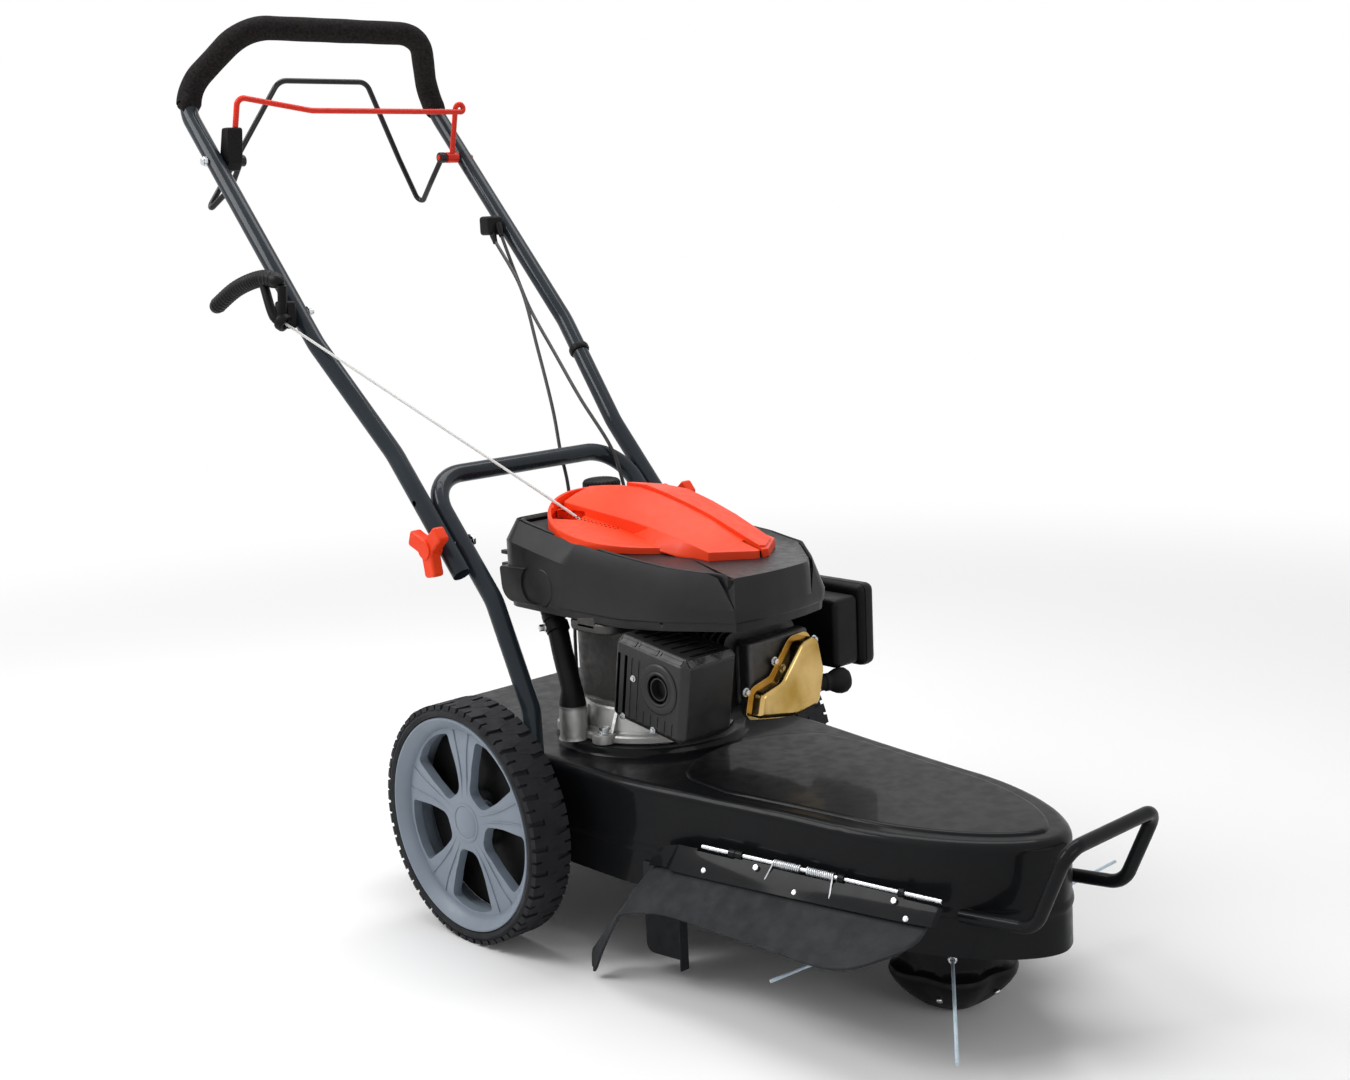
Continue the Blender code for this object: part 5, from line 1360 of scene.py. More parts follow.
def rim_height(y):
    return max(disc_height(y), 0.4815 + 0.046 * max(0, min(1, (y + 0.19) / 0.23)) ** 2)


def cover_disc(wall):
    """The round disc: each ring is a circle whose height follows the disc's slope."""
    rim = [(COVER_R - 0.0006, rim_height, 0.0006), (COVER_R - 0.0018, rim_height, 0),
            (COVER_R - 0.0042, rim_height, 0)]
    levels = [(COVER_R, seat, 0.01 - wall if wall else -0.0006), (COVER_R, rim_height, 0.002)]
    levels += [] if wall else rim
    levels += [(radius, disc_height, 0) for radius in (COVER_R - 0.0058, COVER_R - 0.03, COVER_R - 0.058,
            0.03)]
    rings = []
    for radius, height, sunk in levels:
        rings.append([Vector((x, y, height(y - AXLE_Y) - sunk - wall)) for x,
                y in circle_plan(radius - wall, CRANK, 96)])
    return grown(rings)


def cover_wedge(wall):
    """Stations from the rear: place, half width of the top, height of its edge and of its middle."""
    stations = [(0.0335, 0.006, 0.5215, 0.5225), (0.03, 0.029, 0.519, 0.5275),
            (0.022, 0.045, 0.5175, 0.5315), (-0.005, 0.045, 0.515, 0.535), (-0.04, 0.045, 0.5115, 0.538),
            (-0.075, 0.045, 0.508, 0.538), (-0.105, 0.045, 0.505, 0.5335), (-0.14, 0.047, 0.501, 0.526),
            (-0.165, 0.0495, 0.4975, 0.5195), (-0.2, 0.052, 0.4925, 0.5095),
            (-0.228, 0.054, 0.4875, 0.4985), (-0.25, 0.056, 0.483, 0.4905), (-0.284, 0.009, 0.481, 0.4815)]
    rings = []
    for y, half, edge, middle in stations:
        spread_out = 0.001 + 0.017 * max(0, 1 - abs(y + 0.168) / 0.062)
        y_in = y + (wall if y < -0.26 else -wall if y > 0.025 else 0)
        half -= wall if half > 0.01 else 0
        foot = seat(y) + (-0.014 if wall else 0.0006 if y < -0.19 else 0.0045)
        side = [(half + spread_out, foot), (half + spread_out * 0.9, foot + 0.003), (half, edge - wall),
                (half * 0.55, edge + (middle - edge) * 0.55 - wall)]
        section = [(-x, z) for x, z in side] + [(0, middle - wall)] + [(x, z) for x, z in reversed(side)]
        rings.append([at(x, y_in, z) for x, z in section])
    return grown(rings)


def cover_ridge():
    stations = [(-0.048, 0.001, 0.014, 0.542, 0.5405), (-0.085, 0.001, 0.03, 0.5418, 0.539),
            (-0.12, 0.0005, 0.04, 0.535, 0.534), (-0.16, 0, 0.042, 0.5255, 0.5225),
            (-0.2, 0, 0.0425, 0.514, 0.509), (-0.256, 0, 0.043, 0.4935, 0.486),
            (-0.279, 0, 0.01, 0.4855, 0.4845)]
    rings = []
    for y, near, far, near_height, far_height in stations:
        sink = 0.006
        section = [(near, near_height - sink - 0.004), (near, near_height), (far, far_height),
                (far + 0.001, far_height - sink)]
        rings.append([at(x, y, z) for x, z in section])
    return softened(grown(rings), 0.0008)


def starter_cover():
    cover = combined(cover_disc(0), softened(cover_wedge(0), 0.0012, angle=24), "UNION")
    cover = combined(cover, cover_ridge(), "UNION")
    inside = combined(cover_disc(COVER_WALL), cover_wedge(COVER_WALL), "UNION")
    cover = combined(cover, inside)
    ahead = (ROPE_EYE - ROPE_SLOT).normalized()
    level_ahead = Vector((ahead.x, ahead.y, 0)).normalized()
    side = Vector((level_ahead.y, -level_ahead.x, 0))
    corners = [ROPE_SLOT + level_ahead * a + side * b for a,
            b in ((-0.02, -0.018), (-0.02, 0.014), (0.026, 0.02), (0.026, -0.032))]
    plan = rounded([(c.x, c.y) for c in corners], [0.004, 0.004, 0.006, 0.006])
    tub = extruded(moved_inwards(plan, -0.0022), "Z", 0.4945, 0.51)
    tub = combined(tub, combined(cover_disc(0), cover_wedge(0), "UNION"), "INTERSECT")
    cover = combined(cover, tub, "UNION")
    cover = combined(cover, extruded(plan, "Z", 0.497, 0.5085))
    for behind, radius in ((0.002, 0.0075), (-0.022, 0.0034)):
        cover = combined(cover, bar(ROPE_SLOT + ahead * behind, ROPE_SLOT + ahead * 0.06, radius, 24))
    return combined(cover, block(at(-0.0055, -0.292, 0.47), at(-0.0004, -0.254, 0.5)))


ROPE_EYE = Vector((-(UPPER_HALF + 0.0335), AXLE_Y + 0.3293, 0.756))
ROPE_SLOT = at(-0.06, -0.004, 0.51)
dressed(starter_cover(), "starter_cover_red", RED, "chassis", ["starter_cover"], 24)


def vent_dots():
    """Two rows of small studs on the starter cover, beside the rope's pocket."""
    studs = []
    for k in range(13):
        for aside in (0, 0.005):
            y = -0.004 - 0.0066 * k
            x = -0.056 + 0.0013 * max(0, k - 6) - aside
            seat_z = disc_height(y) - 0.0006
            foot = at(x, y, seat_z)
            studs.append(bar(foot, foot + UP * 0.0012, 0.001, 8))
    return joined(*studs)


dressed(vent_dots(), "starter_cover_vent_dots", MOULDED, "chassis")

# %% [markdown]
# The silencer sits in a heat guard of thin sheet: a box with chamfered edges, slots in its outer face,
# louvres in its top and a round outlet with a raised ring. Along its top edges there are embossed frames,
# and the one in front is worn bright.

# %% Heat guard and silencer
GUARD_MID = at(-0.1035, -0.232, 0.3345)
GUARD_HALF = Vector((0.0435, 0.0615, 0.052))
GUARD_TIP = radians(8.5)
OPEN_SLOTS = 2
OUTLET = GUARD_MID + Vector((-GUARD_HALF.x, -0.02, 0.0075))


def tipped(obj):
    """Turns a piece of the exhaust, built level, down in front about the guard's middle."""
    turn = Matrix.Rotation(GUARD_TIP, 4, "X")
    obj.rotation_euler = turn.to_euler()
    obj.location = GUARD_MID - turn @ GUARD_MID
    return settled(obj)


def slot(middle, length, width, axis, low, high):
    """A tool for a slot with round ends, its length along the second axis of its plane."""
    a, b = middle
    outline = rounded([(a - width / 2, b - length / 2), (a + width / 2, b - length / 2),
            (a + width / 2, b + length / 2), (a - width / 2, b + length / 2)], [width * 0.49] * 4)
    return extruded(outline, axis, low, high)


def guard_box(inset):
    edge = Vector((inset, inset, inset))
    box = block(GUARD_MID - GUARD_HALF + edge, GUARD_MID + GUARD_HALF - edge)
    return softened(softened(box, 0.0085 - inset, 1), 0.0022, 2)


def heat_guard():
    guard = combined(guard_box(0), guard_box(0.0014))
    left, top = GUARD_MID.x - GUARD_HALF.x, GUARD_MID.z + GUARD_HALF.z
    tools = []
    for k in range(9):
        y = GUARD_MID.y + GUARD_HALF.y - 0.0125 - 0.012 * k
        deep = 0.006 if k < OPEN_SLOTS else 0.0007
        drop, length = (0.035, 0.018) if abs(y - OUTLET.y) < 0.03 else (0.006, 0.076)
        tools.append(slot((y, GUARD_MID.z - drop), length, 0.005, "X", left - 0.01, left + deep))
    for k in range(7):
        y = GUARD_MID.y - 0.048 + 0.0155 * k
        louvre = rounded([(-0.128, y - 0.0028), (-0.082, y - 0.0028), (-0.082, y + 0.0028),
                (-0.128, y + 0.0028)], [0.0025] * 4)
        tools.append(extruded(louvre, "Z", top - 0.01, top + 0.01))
    tools.append(cross_bar(OUTLET, left - 0.01, left + 0.01, 0.0175, 40))
    guard = combined(guard, joined(*tools))
    ring = turned([(0.017, 0), (0.03, 0), (0.03, 0.0015), (0.028, 0.0027), (0.024, 0.003), (0.021, 0.002),
            (0.0192, 0.003), (0.017, 0.0022)], (0, 0, 0), "Z", 48)
    ring.rotation_euler = (0, -pi / 2, 0)
    ring.location = OUTLET + Vector((0.0004, 0, 0))
    return tipped(joined(guard, settled(ring)))


def edge_frame(start, end, out, width=0.0072, proud=0.0008, line=0.0013):
    """A long raised frame lying on a chamfer from start to end, facing out."""
    start, end, out = Vector(start), Vector(end), Vector(out).normalized()
    along = (end - start).normalized()
    across = out.cross(along)
    strips = [(start + across * a, end + across * a, across * (b - a)) for a,
            b in ((-width / 2, -width / 2 + line), (width / 2 - line, width / 2))]
    strips.append((start - across * width / 2, start - across * width / 2 + along * line, across * width))
    strips.append((end - across * width / 2 - along * line, end - across * width / 2, across * width))
    bars = []
    for low, high, side in strips:
        base = [low, high, high + side, low + side]
        bars.append(grown([[p - out * 0.0006 for p in base], [p + out * proud for p in base]]))
    return joined(*bars)


def side_frames():
    x, z = GUARD_MID.x - GUARD_HALF.x + 0.00425, GUARD_MID.z + GUARD_HALF.z - 0.00425
    front = GUARD_MID.y - GUARD_HALF.y
    return tipped(joined(*[edge_frame((x, front + a, z), (x, front + b, z), (-1, 0, 1)) for a,
            b in ((0.01, 0.046), (0.05, 0.082), (0.086, 0.113))]))


def front_frame():
    """The frame on the front edge and the bright strip inside it, worn by hands and heat."""
    y, z = GUARD_MID.y - GUARD_HALF.y + 0.00425, GUARD_MID.z + GUARD_HALF.z - 0.00425
    low, high = GUARD_MID.x - GUARD_HALF.x + 0.008, GUARD_MID.x + GUARD_HALF.x - 0.008
    frame_bars = edge_frame((low, y, z), (high, y, z), (0, -1, 1), 0.0088)
    strip = []
    for depth in (-0.0004, 0.0007):
        strip.append([Vector((x, y - b - depth, z - b + depth)) for x,
                b in ((low, -0.003), (high, -0.003), (high, 0.003), (low, 0.003))])
    return tipped(joined(frame_bars, grown(strip)))


def silencer():
    body = block(GUARD_MID - Vector((0.033, 0.05, 0.04)), GUARD_MID + Vector((0.033, 0.05, 0.04)), 0.012, 4)
    pipe = cross_bar(OUTLET, OUTLET.x - 0.0005, OUTLET.x + 0.018, 0.0135, 32)
    pipe = combined(pipe, cross_bar(OUTLET, OUTLET.x - 0.01, OUTLET.x + 0.013, 0.0118, 32))
    port = bar(GUARD_MID + Vector((0.03, 0, -0.01)), GUARD_MID + Vector((0.0545, 0, -0.01)), 0.011, 24)
    return tipped(joined(body, pipe, port))


dressed(heat_guard(), "heat_guard", HEATPROOF, "chassis", ["muffler_guard"], 24)
dressed(side_frames(), "heat_guard_frames", HEATPROOF, "chassis")
dressed(front_frame(), "heat_guard_front_frame", WORN_EDGE, "chassis")
dressed(silencer(), "silencer", HEATPROOF, "chassis", ["muffler"])

# %% [markdown]
# The valve cover is drawn from one blank: a face with a rounded edge, side walls and a flange, in yellow
# zinc. Its outline climbs in a slant, because the rockers sit to one side of the head.

# %% Valve cover
def valve_outline(grow=0):
    corners = [(0.055, 0.371), (0.026, 0.369), (-0.009, 0.329), (-0.042, 0.321), (-0.049, 0.292),
            (0.014, 0.281), (0.055, 0.288), (0.065, 0.328)]
    radii = [0.01, 0.012, 0.018, 0.01, 0.006, 0.06, 0.012, 0.02]
    outline = rounded(corners, radii, 10)
    return moved_inwards(outline, -grow) if grow else outline


def valve_cover():
    face = AXLE_Y - 0.318
    rings = []
    for inset, depth in ((0, 0.02), (0, 0.007), (0.0006, 0.0042), (0.0018, 0.002), (0.0036, 0.0006),
            (0.0062, 0)):
        rings.append([Vector((x, face + depth, z)) for x, z in moved_inwards(valve_outline(), inset)])
    cover = grown(rings)
    flange = softened(extruded(valve_outline(0.0045), "Y", face + 0.0195, face + 0.0215), 0.0006)
    return joined(cover, flange)


def hex_bolt(place, out, size, height):
    """A flanged hexagon bolt head standing on a surface at place."""
    place, out = Vector(place), Vector(out).normalized()
    washer = bar(place, place + out * 0.0012, size * 1.35, 24, 0.0004)
    head = bar(place + out * 0.001, place + out * (0.001 + height), size, 6, 0.0006, 2)
    return joined(washer, head)


dressed(valve_cover(), "valve_cover_pressed", YELLOW_ZINC, "chassis", ["valve_cover"], 30)
bolts = [hex_bolt(at(x, -0.2985, z), (0, -1, 0), 0.004, 0.004) for x,
        z in ((0.0685, 0.3), (0.0655, 0.362), (-0.0525, 0.3225), (-0.003, 0.3495))]
bolts += [tipped(hex_bolt(GUARD_MID + Vector((-GUARD_HALF.x - 0.0002, y, z)), (-1, 0, 0), 0.003, 0.0024))
        for y, z in ((0.0225, 0.0075), (0.037, -0.044), (-0.015, -0.044))]
dressed(joined(*bolts), "small_bolts", ZINC, "chassis")

# %% [markdown]
# Under the covers is the block: a bolting flange with ears, a ribbed cone, the crankcase, and the finned
# cylinder that lies forward of it, all one aluminium casting. The pieces are joined by a union, and the
# shaft's bore is cut last.

# %% Engine block
ENGINE_BASE = DECK_TOP + PLATFORM_RISE + PLAY
ENGINE_TOP = 0.395
BOLT_PLACES = ((-0.088, 0.059), (-0.1, -0.022), (0.088, 0.059), (0.1, -0.022))


def crankcase():
    base = CRANK + UP * ENGINE_BASE
    body = turned([(0, 0), (0.103, 0), (0.105, 0.002), (0.105, 0.008), (0.103, 0.01), (0.095, 0.0105),
            (0.0915, 0.013), (0.085, 0.038), (0.083, 0.04), (0, 0.04)], base, "Z", 72)
    ears = [bar(base + Vector((x, y, 0.0003)), base + Vector((x, y, 0.0125)), 0.0155, 32) for x,
            y in BOLT_PLACES]
    body = combined(body, softened(joined(*ears), 0.0012), "UNION")
    ribs = []
    for k in range(10):
        angle = radians(18 + 36 * k)
        out, side = Vector((cos(angle), sin(angle), 0)), Vector((-sin(angle), cos(angle), 0)) * 0.002
        corners = [(0.06, 0.006), (0.1015, 0.006), (0.1015, 0.0125), (0.088, 0.036), (0.06, 0.036)]
        ribs.append(grown([[base + out * r + UP * z + side * k for r, z in corners] for k in (-1, 1)]))
    body = combined(body, joined(*ribs), "UNION")
    case = extruded(rounded([(-0.07, CRANK_Y - 0.08), (0.07, CRANK_Y - 0.08), (0.07, CRANK_Y + 0.074),
            (-0.07, CRANK_Y + 0.074)], [0.022, 0.022, 0.03, 0.03], 10), "Z", 0.262, ENGINE_TOP - 0.012)
    body = combined(body, softened(case, 0.003), "UNION")
    top = turned([(0, -0.016), (0.072, -0.016), (0.086, -0.011), (0.086, -0.002), (0.084, 0), (0, 0)],
            CRANK + UP * ENGINE_TOP, "Z", 64)
    body = combined(body, top, "UNION")
    for low, high, radius in ((ENGINE_BASE - 0.01, ENGINE_TOP + 0.01, 0.0136), (0.297, 0.319, 0.032)):
        body = combined(body, bar(CRANK + UP * low, CRANK + UP * high, radius, 32))
    boss = turned([(0, 0), (0.0195, 0), (0.0178, 0.004), (0.0172, 0.042), (0.016, 0.0435), (0, 0.0435)],
            at(-0.11, -0.052, ENGINE_BASE), "Z", 40)
    return joined(body, boss)


def cylinder():
    front = AXLE_Y - 0.292
    barrel = block((-0.03, front + 0.024, 0.29), (0.062, CRANK_Y - 0.07, 0.372), 0.012, 4)
    head = block((-0.036, front, 0.284), (0.066, front + 0.022, 0.377), 0.006, 3)
    pieces = [barrel, head]
    for k in range(8):
        y = AXLE_Y - 0.174 - 0.0122 * k
        outline = rounded([(-0.048, 0.278), (0.074, 0.278), (0.074, 0.384), (-0.048, 0.384)], [0.016] * 4,
                22.5)
        pieces.append(softened(extruded(outline, "Y", y - 0.0014, y + 0.0014), 0.0006))
    wall = 0.13 - 0.0025 - PLAY
    for side in (-1, 1):
        plan = rounded([(side * 0.06, AXLE_Y - 0.15), (side * wall, AXLE_Y - 0.145),
                (side * wall, AXLE_Y - 0.066), (side * 0.06, AXLE_Y - 0.06)], [0.004, 0.022, 0.022, 0.004])
        shelf = softened(extruded(plan, "Z", 0.38, 0.394), 0.004, 3)
        tab = block((min(side * (wall - 0.005), side * wall), AXLE_Y - 0.122, 0.386),
                (max(side * (wall - 0.005), side * wall), AXLE_Y - 0.09, 0.425), 0.0015)
        pieces += [shelf, tab]
    pieces.append(turned([(0.06, 0), (0.092, 0), (0.0965, 0.004), (0.098, 0.01), (0.098, 0.022),
            (0.096, 0.024), (0.0925, 0.024), (0.0925, 0.01), (0.06, 0.008)], CRANK + UP * 0.384, "Z", 72))
    return joined(*pieces)


dressed(joined(crankcase(), cylinder()), "engine_casting", CASTING, "chassis", ["engine_block"],
        30)
bolts = [hex_bolt(CRANK + Vector((x, y, ENGINE_BASE + 0.0125)), (0, 0, 1), 0.0068, 0.0062) for x,
        y in BOLT_PLACES]
bolts.append(hex_bolt(at(-0.1118, -0.0088, 0.3705), (-1, 0.4, 0), 0.0046, 0.007))
dressed(joined(*bolts), "engine_bolts", ZINC, "chassis")

# %% [markdown]
# The filler neck stands on a boss of the flange: a moulded tube with a flared foot that leans towards the
# shroud. The tank lies behind the shroud with a ribbed cap. The air filter is a box with a rounded lid on
# the far side; the plug's rubber boot ends in a ball that one can grip.

# %% Filler, tank, filter and plug
FILLER_PATH = [at(-0.11, -0.052, ENGINE_BASE + 0.0438), at(-0.11, -0.051, 0.3), at(-0.104, -0.032, 0.336),
        at(-0.1, -0.02, 0.362), at(-0.096, -0.006, 0.386)]
FILLER_AXIS = Vector((0.16169, 0.565916, 0.808453))


def filler_tube():
    line = smooth_line(FILLER_PATH, 0.004)
    radii = [1 + 0.3 * max(0, 1 - k / 5) for k in range(len(line))]
    tube = swept(line, 0.0132, 32, radii=radii)
    end = line[-1]
    collar = bar(end - FILLER_AXIS * 0.01, end - FILLER_AXIS * 0.0003, 0.0152, 32, 0.0012)
    strap = bar(end - FILLER_AXIS * 0.026, end - FILLER_AXIS * 0.015, 0.015, 32, 0.0008)
    tube = combined(combined(tube, collar, "UNION"), strap, "UNION")
    return combined(tube, bar(end - FILLER_AXIS * 0.017, end + FILLER_AXIS * 0.01, 0.0064, 24))


def dipstick():
    end = FILLER_PATH[-1]
    head = bar(end + FILLER_AXIS * 0.0006, end + FILLER_AXIS * 0.012, 0.0148, 32, 0.0015)
    return joined(head, bar(end - FILLER_AXIS * 0.0155, end + FILLER_AXIS * 0.002, 0.0058, 20))


def ribbed_cap(centre, radius, low, high, ribs=28):
    """A screw cap: a lobed skirt and a slightly domed top."""
    outline = []
    for k in range(ribs * 4):
        angle = 2 * pi * k / (ribs * 4)
        r = radius - 0.0016 * (0.5 - 0.5 * cos(ribs * angle)) ** 2
        outline.append((centre.x + r * cos(angle), centre.y + r * sin(angle)))
    rings = [level(outline, low), level(outline, high - 0.006)]
    for inset, height in ((0.0014, high - 0.0035), (0.0035, high - 0.0018), (0.009, high - 0.0004),
            (0.016, high)):
        share = 1 - inset / radius
        rings.append([Vector((centre.x + (x - centre.x) * share, centre.y + (y - centre.y) * share,
                height)) for x, y in outline])
    return grown(rings)


CAP_PLACE = at(0.08, 0.092, 0)
cap = combined(ribbed_cap(CAP_PLACE, 0.0258, 0.488, 0.526),
        bar(CAP_PLACE + UP * 0.48, CAP_PLACE + UP * 0.4984, 0.0184, 40))
dressed(cap, "fuel_cap_ribbed", MOULDED, "tank_cap", ["fuel_cap"], 40)
tank = block(at(-0.03, 0.064, 0.395), at(0.118, 0.124, 0.486), 0.012, 4)
bracket = block((-0.01, CRANK_Y + 0.0743, 0.374), at(0.06, 0.084, 0.4), 0.003)
neck = bar(CAP_PLACE + UP * 0.48, CAP_PLACE + UP * 0.498, 0.018, 40, 0.001)
dressed(joined(tank, bracket, neck), "fuel_tank_moulded", MOULDED, "chassis", ["fuel_tank"])
dressed(filler_tube(), "filler_neck", MOULDED, "chassis", ["oil_filler"])
dressed(dipstick(), "dipstick_cap", MOULDED, "oil_dipstick", ["dipstick"])


def filter_base():
    base = block(at(0.104, -0.3, 0.316), at(0.148, -0.21, 0.402), 0.007, 3)
    pipe = bar(at(0.0745, -0.24, 0.345), at(0.11, -0.24, 0.345), 0.014, 32)
    bowl = bar(at(0.089, -0.24, 0.3), at(0.089, -0.24, 0.342), 0.015, 32, 0.003)
    return joined(base, pipe, bowl)


def filter_lid():
    lid = block(at(0.1483, -0.304, 0.31), at(0.176, -0.206, 0.414), 0.01, 4)
    groove = block(at(0.156, -0.31, 0.3), at(0.1572, -0.2, 0.42))
    core = block(at(0.148, -0.3028, 0.3112), at(0.16, -0.2072, 0.4128), 0.0095, 4)
    return combined(lid, combined(groove, core))


dressed(filter_base(), "filter_base", MOULDED, "chassis", ["air_filter_base"])
dressed(filter_lid(), "filter_lid_moulded", MOULDED, "filter_lid", ["air_filter_cover"])

PLUG_ROOT = at(0.0623, -0.281, 0.301)
PLUG_AHEAD = Vector((0.92, -0.39, 0)).normalized()


def turned_along(profile, start, ahead, steps=32):
    """A profile of (radius, distance) points turned round the line from start towards ahead."""
    piece = turned(profile, (0, 0, 0), "Z", steps)
    piece.rotation_euler = ahead.to_track_quat("Z", "Y").to_euler()
    piece.location = start
    return settled(piece)


mouth = PLUG_ROOT + Vector((0.01, 0, 0)) + PLUG_AHEAD * 0.01
boot = turned_along([(0.0056, 0), (0.0105, 0), (0.0112, 0.001), (0.0108, 0.005), (0.0098, 0.006),
        (0.0098, 0.012), (0.011, 0.013), (0.011, 0.017), (0.0108, 0.0185), (0.0128, 0.0225),
        (0.0152, 0.0275), (0.0162, 0.0335), (0.0152, 0.0395), (0.0118, 0.044), (0.006, 0.0465), (0, 0.047),
        (0, 0.021), (0.0056, 0.021)], mouth, PLUG_AHEAD)
dressed(boot, "plug_boot_rubber", BOOT, "boot", ["plug_boot"], 40)

# %% [markdown]
# ## Side guard, springs and the smaller guards
#
# The rubber flap hangs from a pressed strip that turns on the hinge rod, against two wound springs. It runs
# down and out along the deck and ends behind in a curled tail. Flap, strip and left shield are sheets: a few
# stations across the sheet are run through smoothly, along it and down it, and each point is then doubled one
# sheet thickness away, square to the surface.

# %% Sheets from stations
def refined(rows, parts):
    """Rows of points, with smooth rows added so that each gap has the given number of parts."""
    first = [2 * a - b for a, b in zip(rows[0], rows[1])]
    last = [2 * a - b for a, b in zip(rows[-1], rows[-2])]
    fine = []
    for four in zip([first, *rows], rows, rows[1:], [*rows[2:], last]):
        fine += [[through(*points, k / parts) for points in zip(*four)] for k in range(parts)]
    return fine + [rows[-1]]


def sheet_form(rows, thickness, along=6, down=4):
    """A sheet through rows of points, y counted from the axle."""
    grid = refined([[at(*place) for place in row] for row in rows], along)
    grid = [list(row) for row in zip(*refined([list(column) for column in zip(*grid)], down))]
    rings = []
    for i, row in enumerate(grid):
        behind, ahead = grid[max(i - 1, 0)], grid[min(i + 1, len(grid) - 1)]
        back = []
        for j, point in enumerate(row):
            step_down = row[min(j + 1, len(row) - 1)] - row[max(j - 1, 0)]
            back.append(point + (ahead[j] - behind[j]).cross(step_down).normalized() * thickness)
        rings.append(row + back[::-1])
    return outward(grown(rings))


# %% Flap, strip and hinge
FLAP_ROWS = (
    ((-0.2105, -0.189, 0.027), (-0.2165, -0.193, 0.0215), (-0.222, -0.198, 0.012)),
    ((-0.203, -0.194, 0.038), (-0.2135, -0.198, 0.0265), (-0.223, -0.205, 0.009)),
    ((-0.1935, -0.217, 0.072), (-0.2085, -0.218, 0.06), (-0.2215, -0.222, 0.042)),
    ((-0.18, -0.24, 0.106), (-0.2005, -0.241, 0.094), (-0.2225, -0.244, 0.0755)),
    ((-0.168, -0.256, 0.132), (-0.19, -0.256, 0.118), (-0.224, -0.256, 0.09)),
    ((-0.168, -0.285, 0.144), (-0.1755, -0.285, 0.1355), (-0.219, -0.285, 0.099)),
    ((-0.169, -0.331, 0.1465), (-0.1755, -0.331, 0.138), (-0.213, -0.331, 0.105)),
    ((-0.1465, -0.47, 0.149), (-0.1527, -0.47, 0.1399), (-0.21, -0.47, 0.106)),
    ((-0.1316, -0.56, 0.1503), (-0.1378, -0.56, 0.1412), (-0.206, -0.562, 0.109)),
    ((-0.1229, -0.612, 0.151), (-0.1291, -0.612, 0.1419), (-0.176, -0.611, 0.1262)),
    ((-0.1216, -0.62, 0.1511), (-0.1278, -0.62, 0.142), (-0.142, -0.62, 0.1345)),
)
STRIP_ROWS = (
    ((-0.167, -0.262, 0.158), (-0.1705, -0.258, 0.15), (-0.1745, -0.254, 0.136)),
    ((-0.164, -0.29, 0.166), (-0.1695, -0.288, 0.1565), (-0.177, -0.285, 0.142)),
    ((-0.16, -0.331, 0.1685), (-0.1675, -0.331, 0.1575), (-0.177, -0.331, 0.1425)),
    ((-0.1154, -0.605, 0.1666), (-0.1229, -0.605, 0.1585), (-0.1315, -0.605, 0.1463)),
    ((-0.114, -0.613, 0.164), (-0.12, -0.613, 0.158), (-0.1255, -0.613, 0.15)),
)
BARRELS = ((0.147, 0.175), (0.596, 0.62), (0.845, 0.866))
CLEARED = ((-0.03, 0.145), (0.306, 0.59), (0.868, 1.03))
RIVETS = ((-0.1705, -0.34, 0.1498), (-0.1519, -0.46, 0.1492), (-0.131, -0.596, 0.1493))
NUTS = ((-0.1513, -0.405, 0.1628), (-0.1242, -0.577, 0.1614))
STRIP_DOWN = Vector((-0.017, 0, -0.026))
STRIP_OUT = -HINGE_AXIS.cross(STRIP_DOWN).normalized()
SPRING_WIRE = 0.0011
ROD_R = 0.0027


def flap_strip():
    strip = softened(sheet_form(STRIP_ROWS, -0.002, 8, 6), 0.0005, 1)
    for start, end in BARRELS:
        strip = combined(strip, bar(on_hinge(start), on_hinge(end), 0.005, 24), "UNION")
    for start, end in CLEARED:
        strip = combined(strip, bar(on_hinge(start), on_hinge(end), 0.0062, 24))
    return combined(strip, bar(HINGE_BACK - HINGE_AXIS * 0.02, HINGE_FRONT + HINGE_AXIS * 0.02,
            ROD_R + PLAY, 16))


def strip_fasteners():
    heads = [bar(at(*place), at(*place) + STRIP_OUT * 0.0032, 0.0036, 20, 0.0022, 4) for place in RIVETS]
    return joined(*heads, *[hex_bolt(at(*place), STRIP_OUT, 0.0038, 0.005) for place in NUTS])


def torsion_spring(start, end, leg):
    """A close-wound spring on the rod from one share to another, with a leg down the strip."""
    turns, per_turn, reach = 13, 12, ROD_R + SPRING_WIRE + 0.0002
    side = Vector((-1, 0, 0)).cross(HINGE_AXIS).cross(HINGE_AXIS).normalized()
    side = -side if side.x > 0 else side
    up = HINGE_AXIS.cross(side)
    up = -up if up.z < 0 else up
    coil = [at(*leg) + STRIP_OUT * 0.0016]
    for k in range(turns * per_turn + 4):
        angle = 2 * pi * k / per_turn
        place = on_hinge(start + (end - start) * k / (turns * per_turn))
        coil.append(place + (side * cos(angle) + up * sin(angle)) * reach)
    return swept(coil, SPRING_WIRE, 10)


dressed(softened(sheet_form(FLAP_ROWS, -0.003), 0.0008, 2, 50), "flap_rubber", FLAP, "side_guard",
        ["side_flap"], 50)
dressed(flap_strip(), "flap_strip_pressed", DECK_BLACK, "side_guard", ["flap_strip"], 30)
dressed(strip_fasteners(), "flap_fasteners", ZINC, "side_guard", ())
rod = bar(HINGE_BACK - HINGE_AXIS * 0.004, HINGE_FRONT + HINGE_AXIS * 0.004, ROD_R)
dressed(softened(rod, 0.001), "hinge_rod", ZINC, "chassis", ["flap_hinge_rod"])
springs = joined(torsion_spring(0.318, 0.428, (-0.156, -0.419, 0.1527)),
        torsion_spring(0.576, 0.466, (-0.144, -0.503, 0.1512)))
dressed(springs, "hinge_springs", ZINC, "chassis", ["flap_spring_rear", "flap_spring_front"], 60)

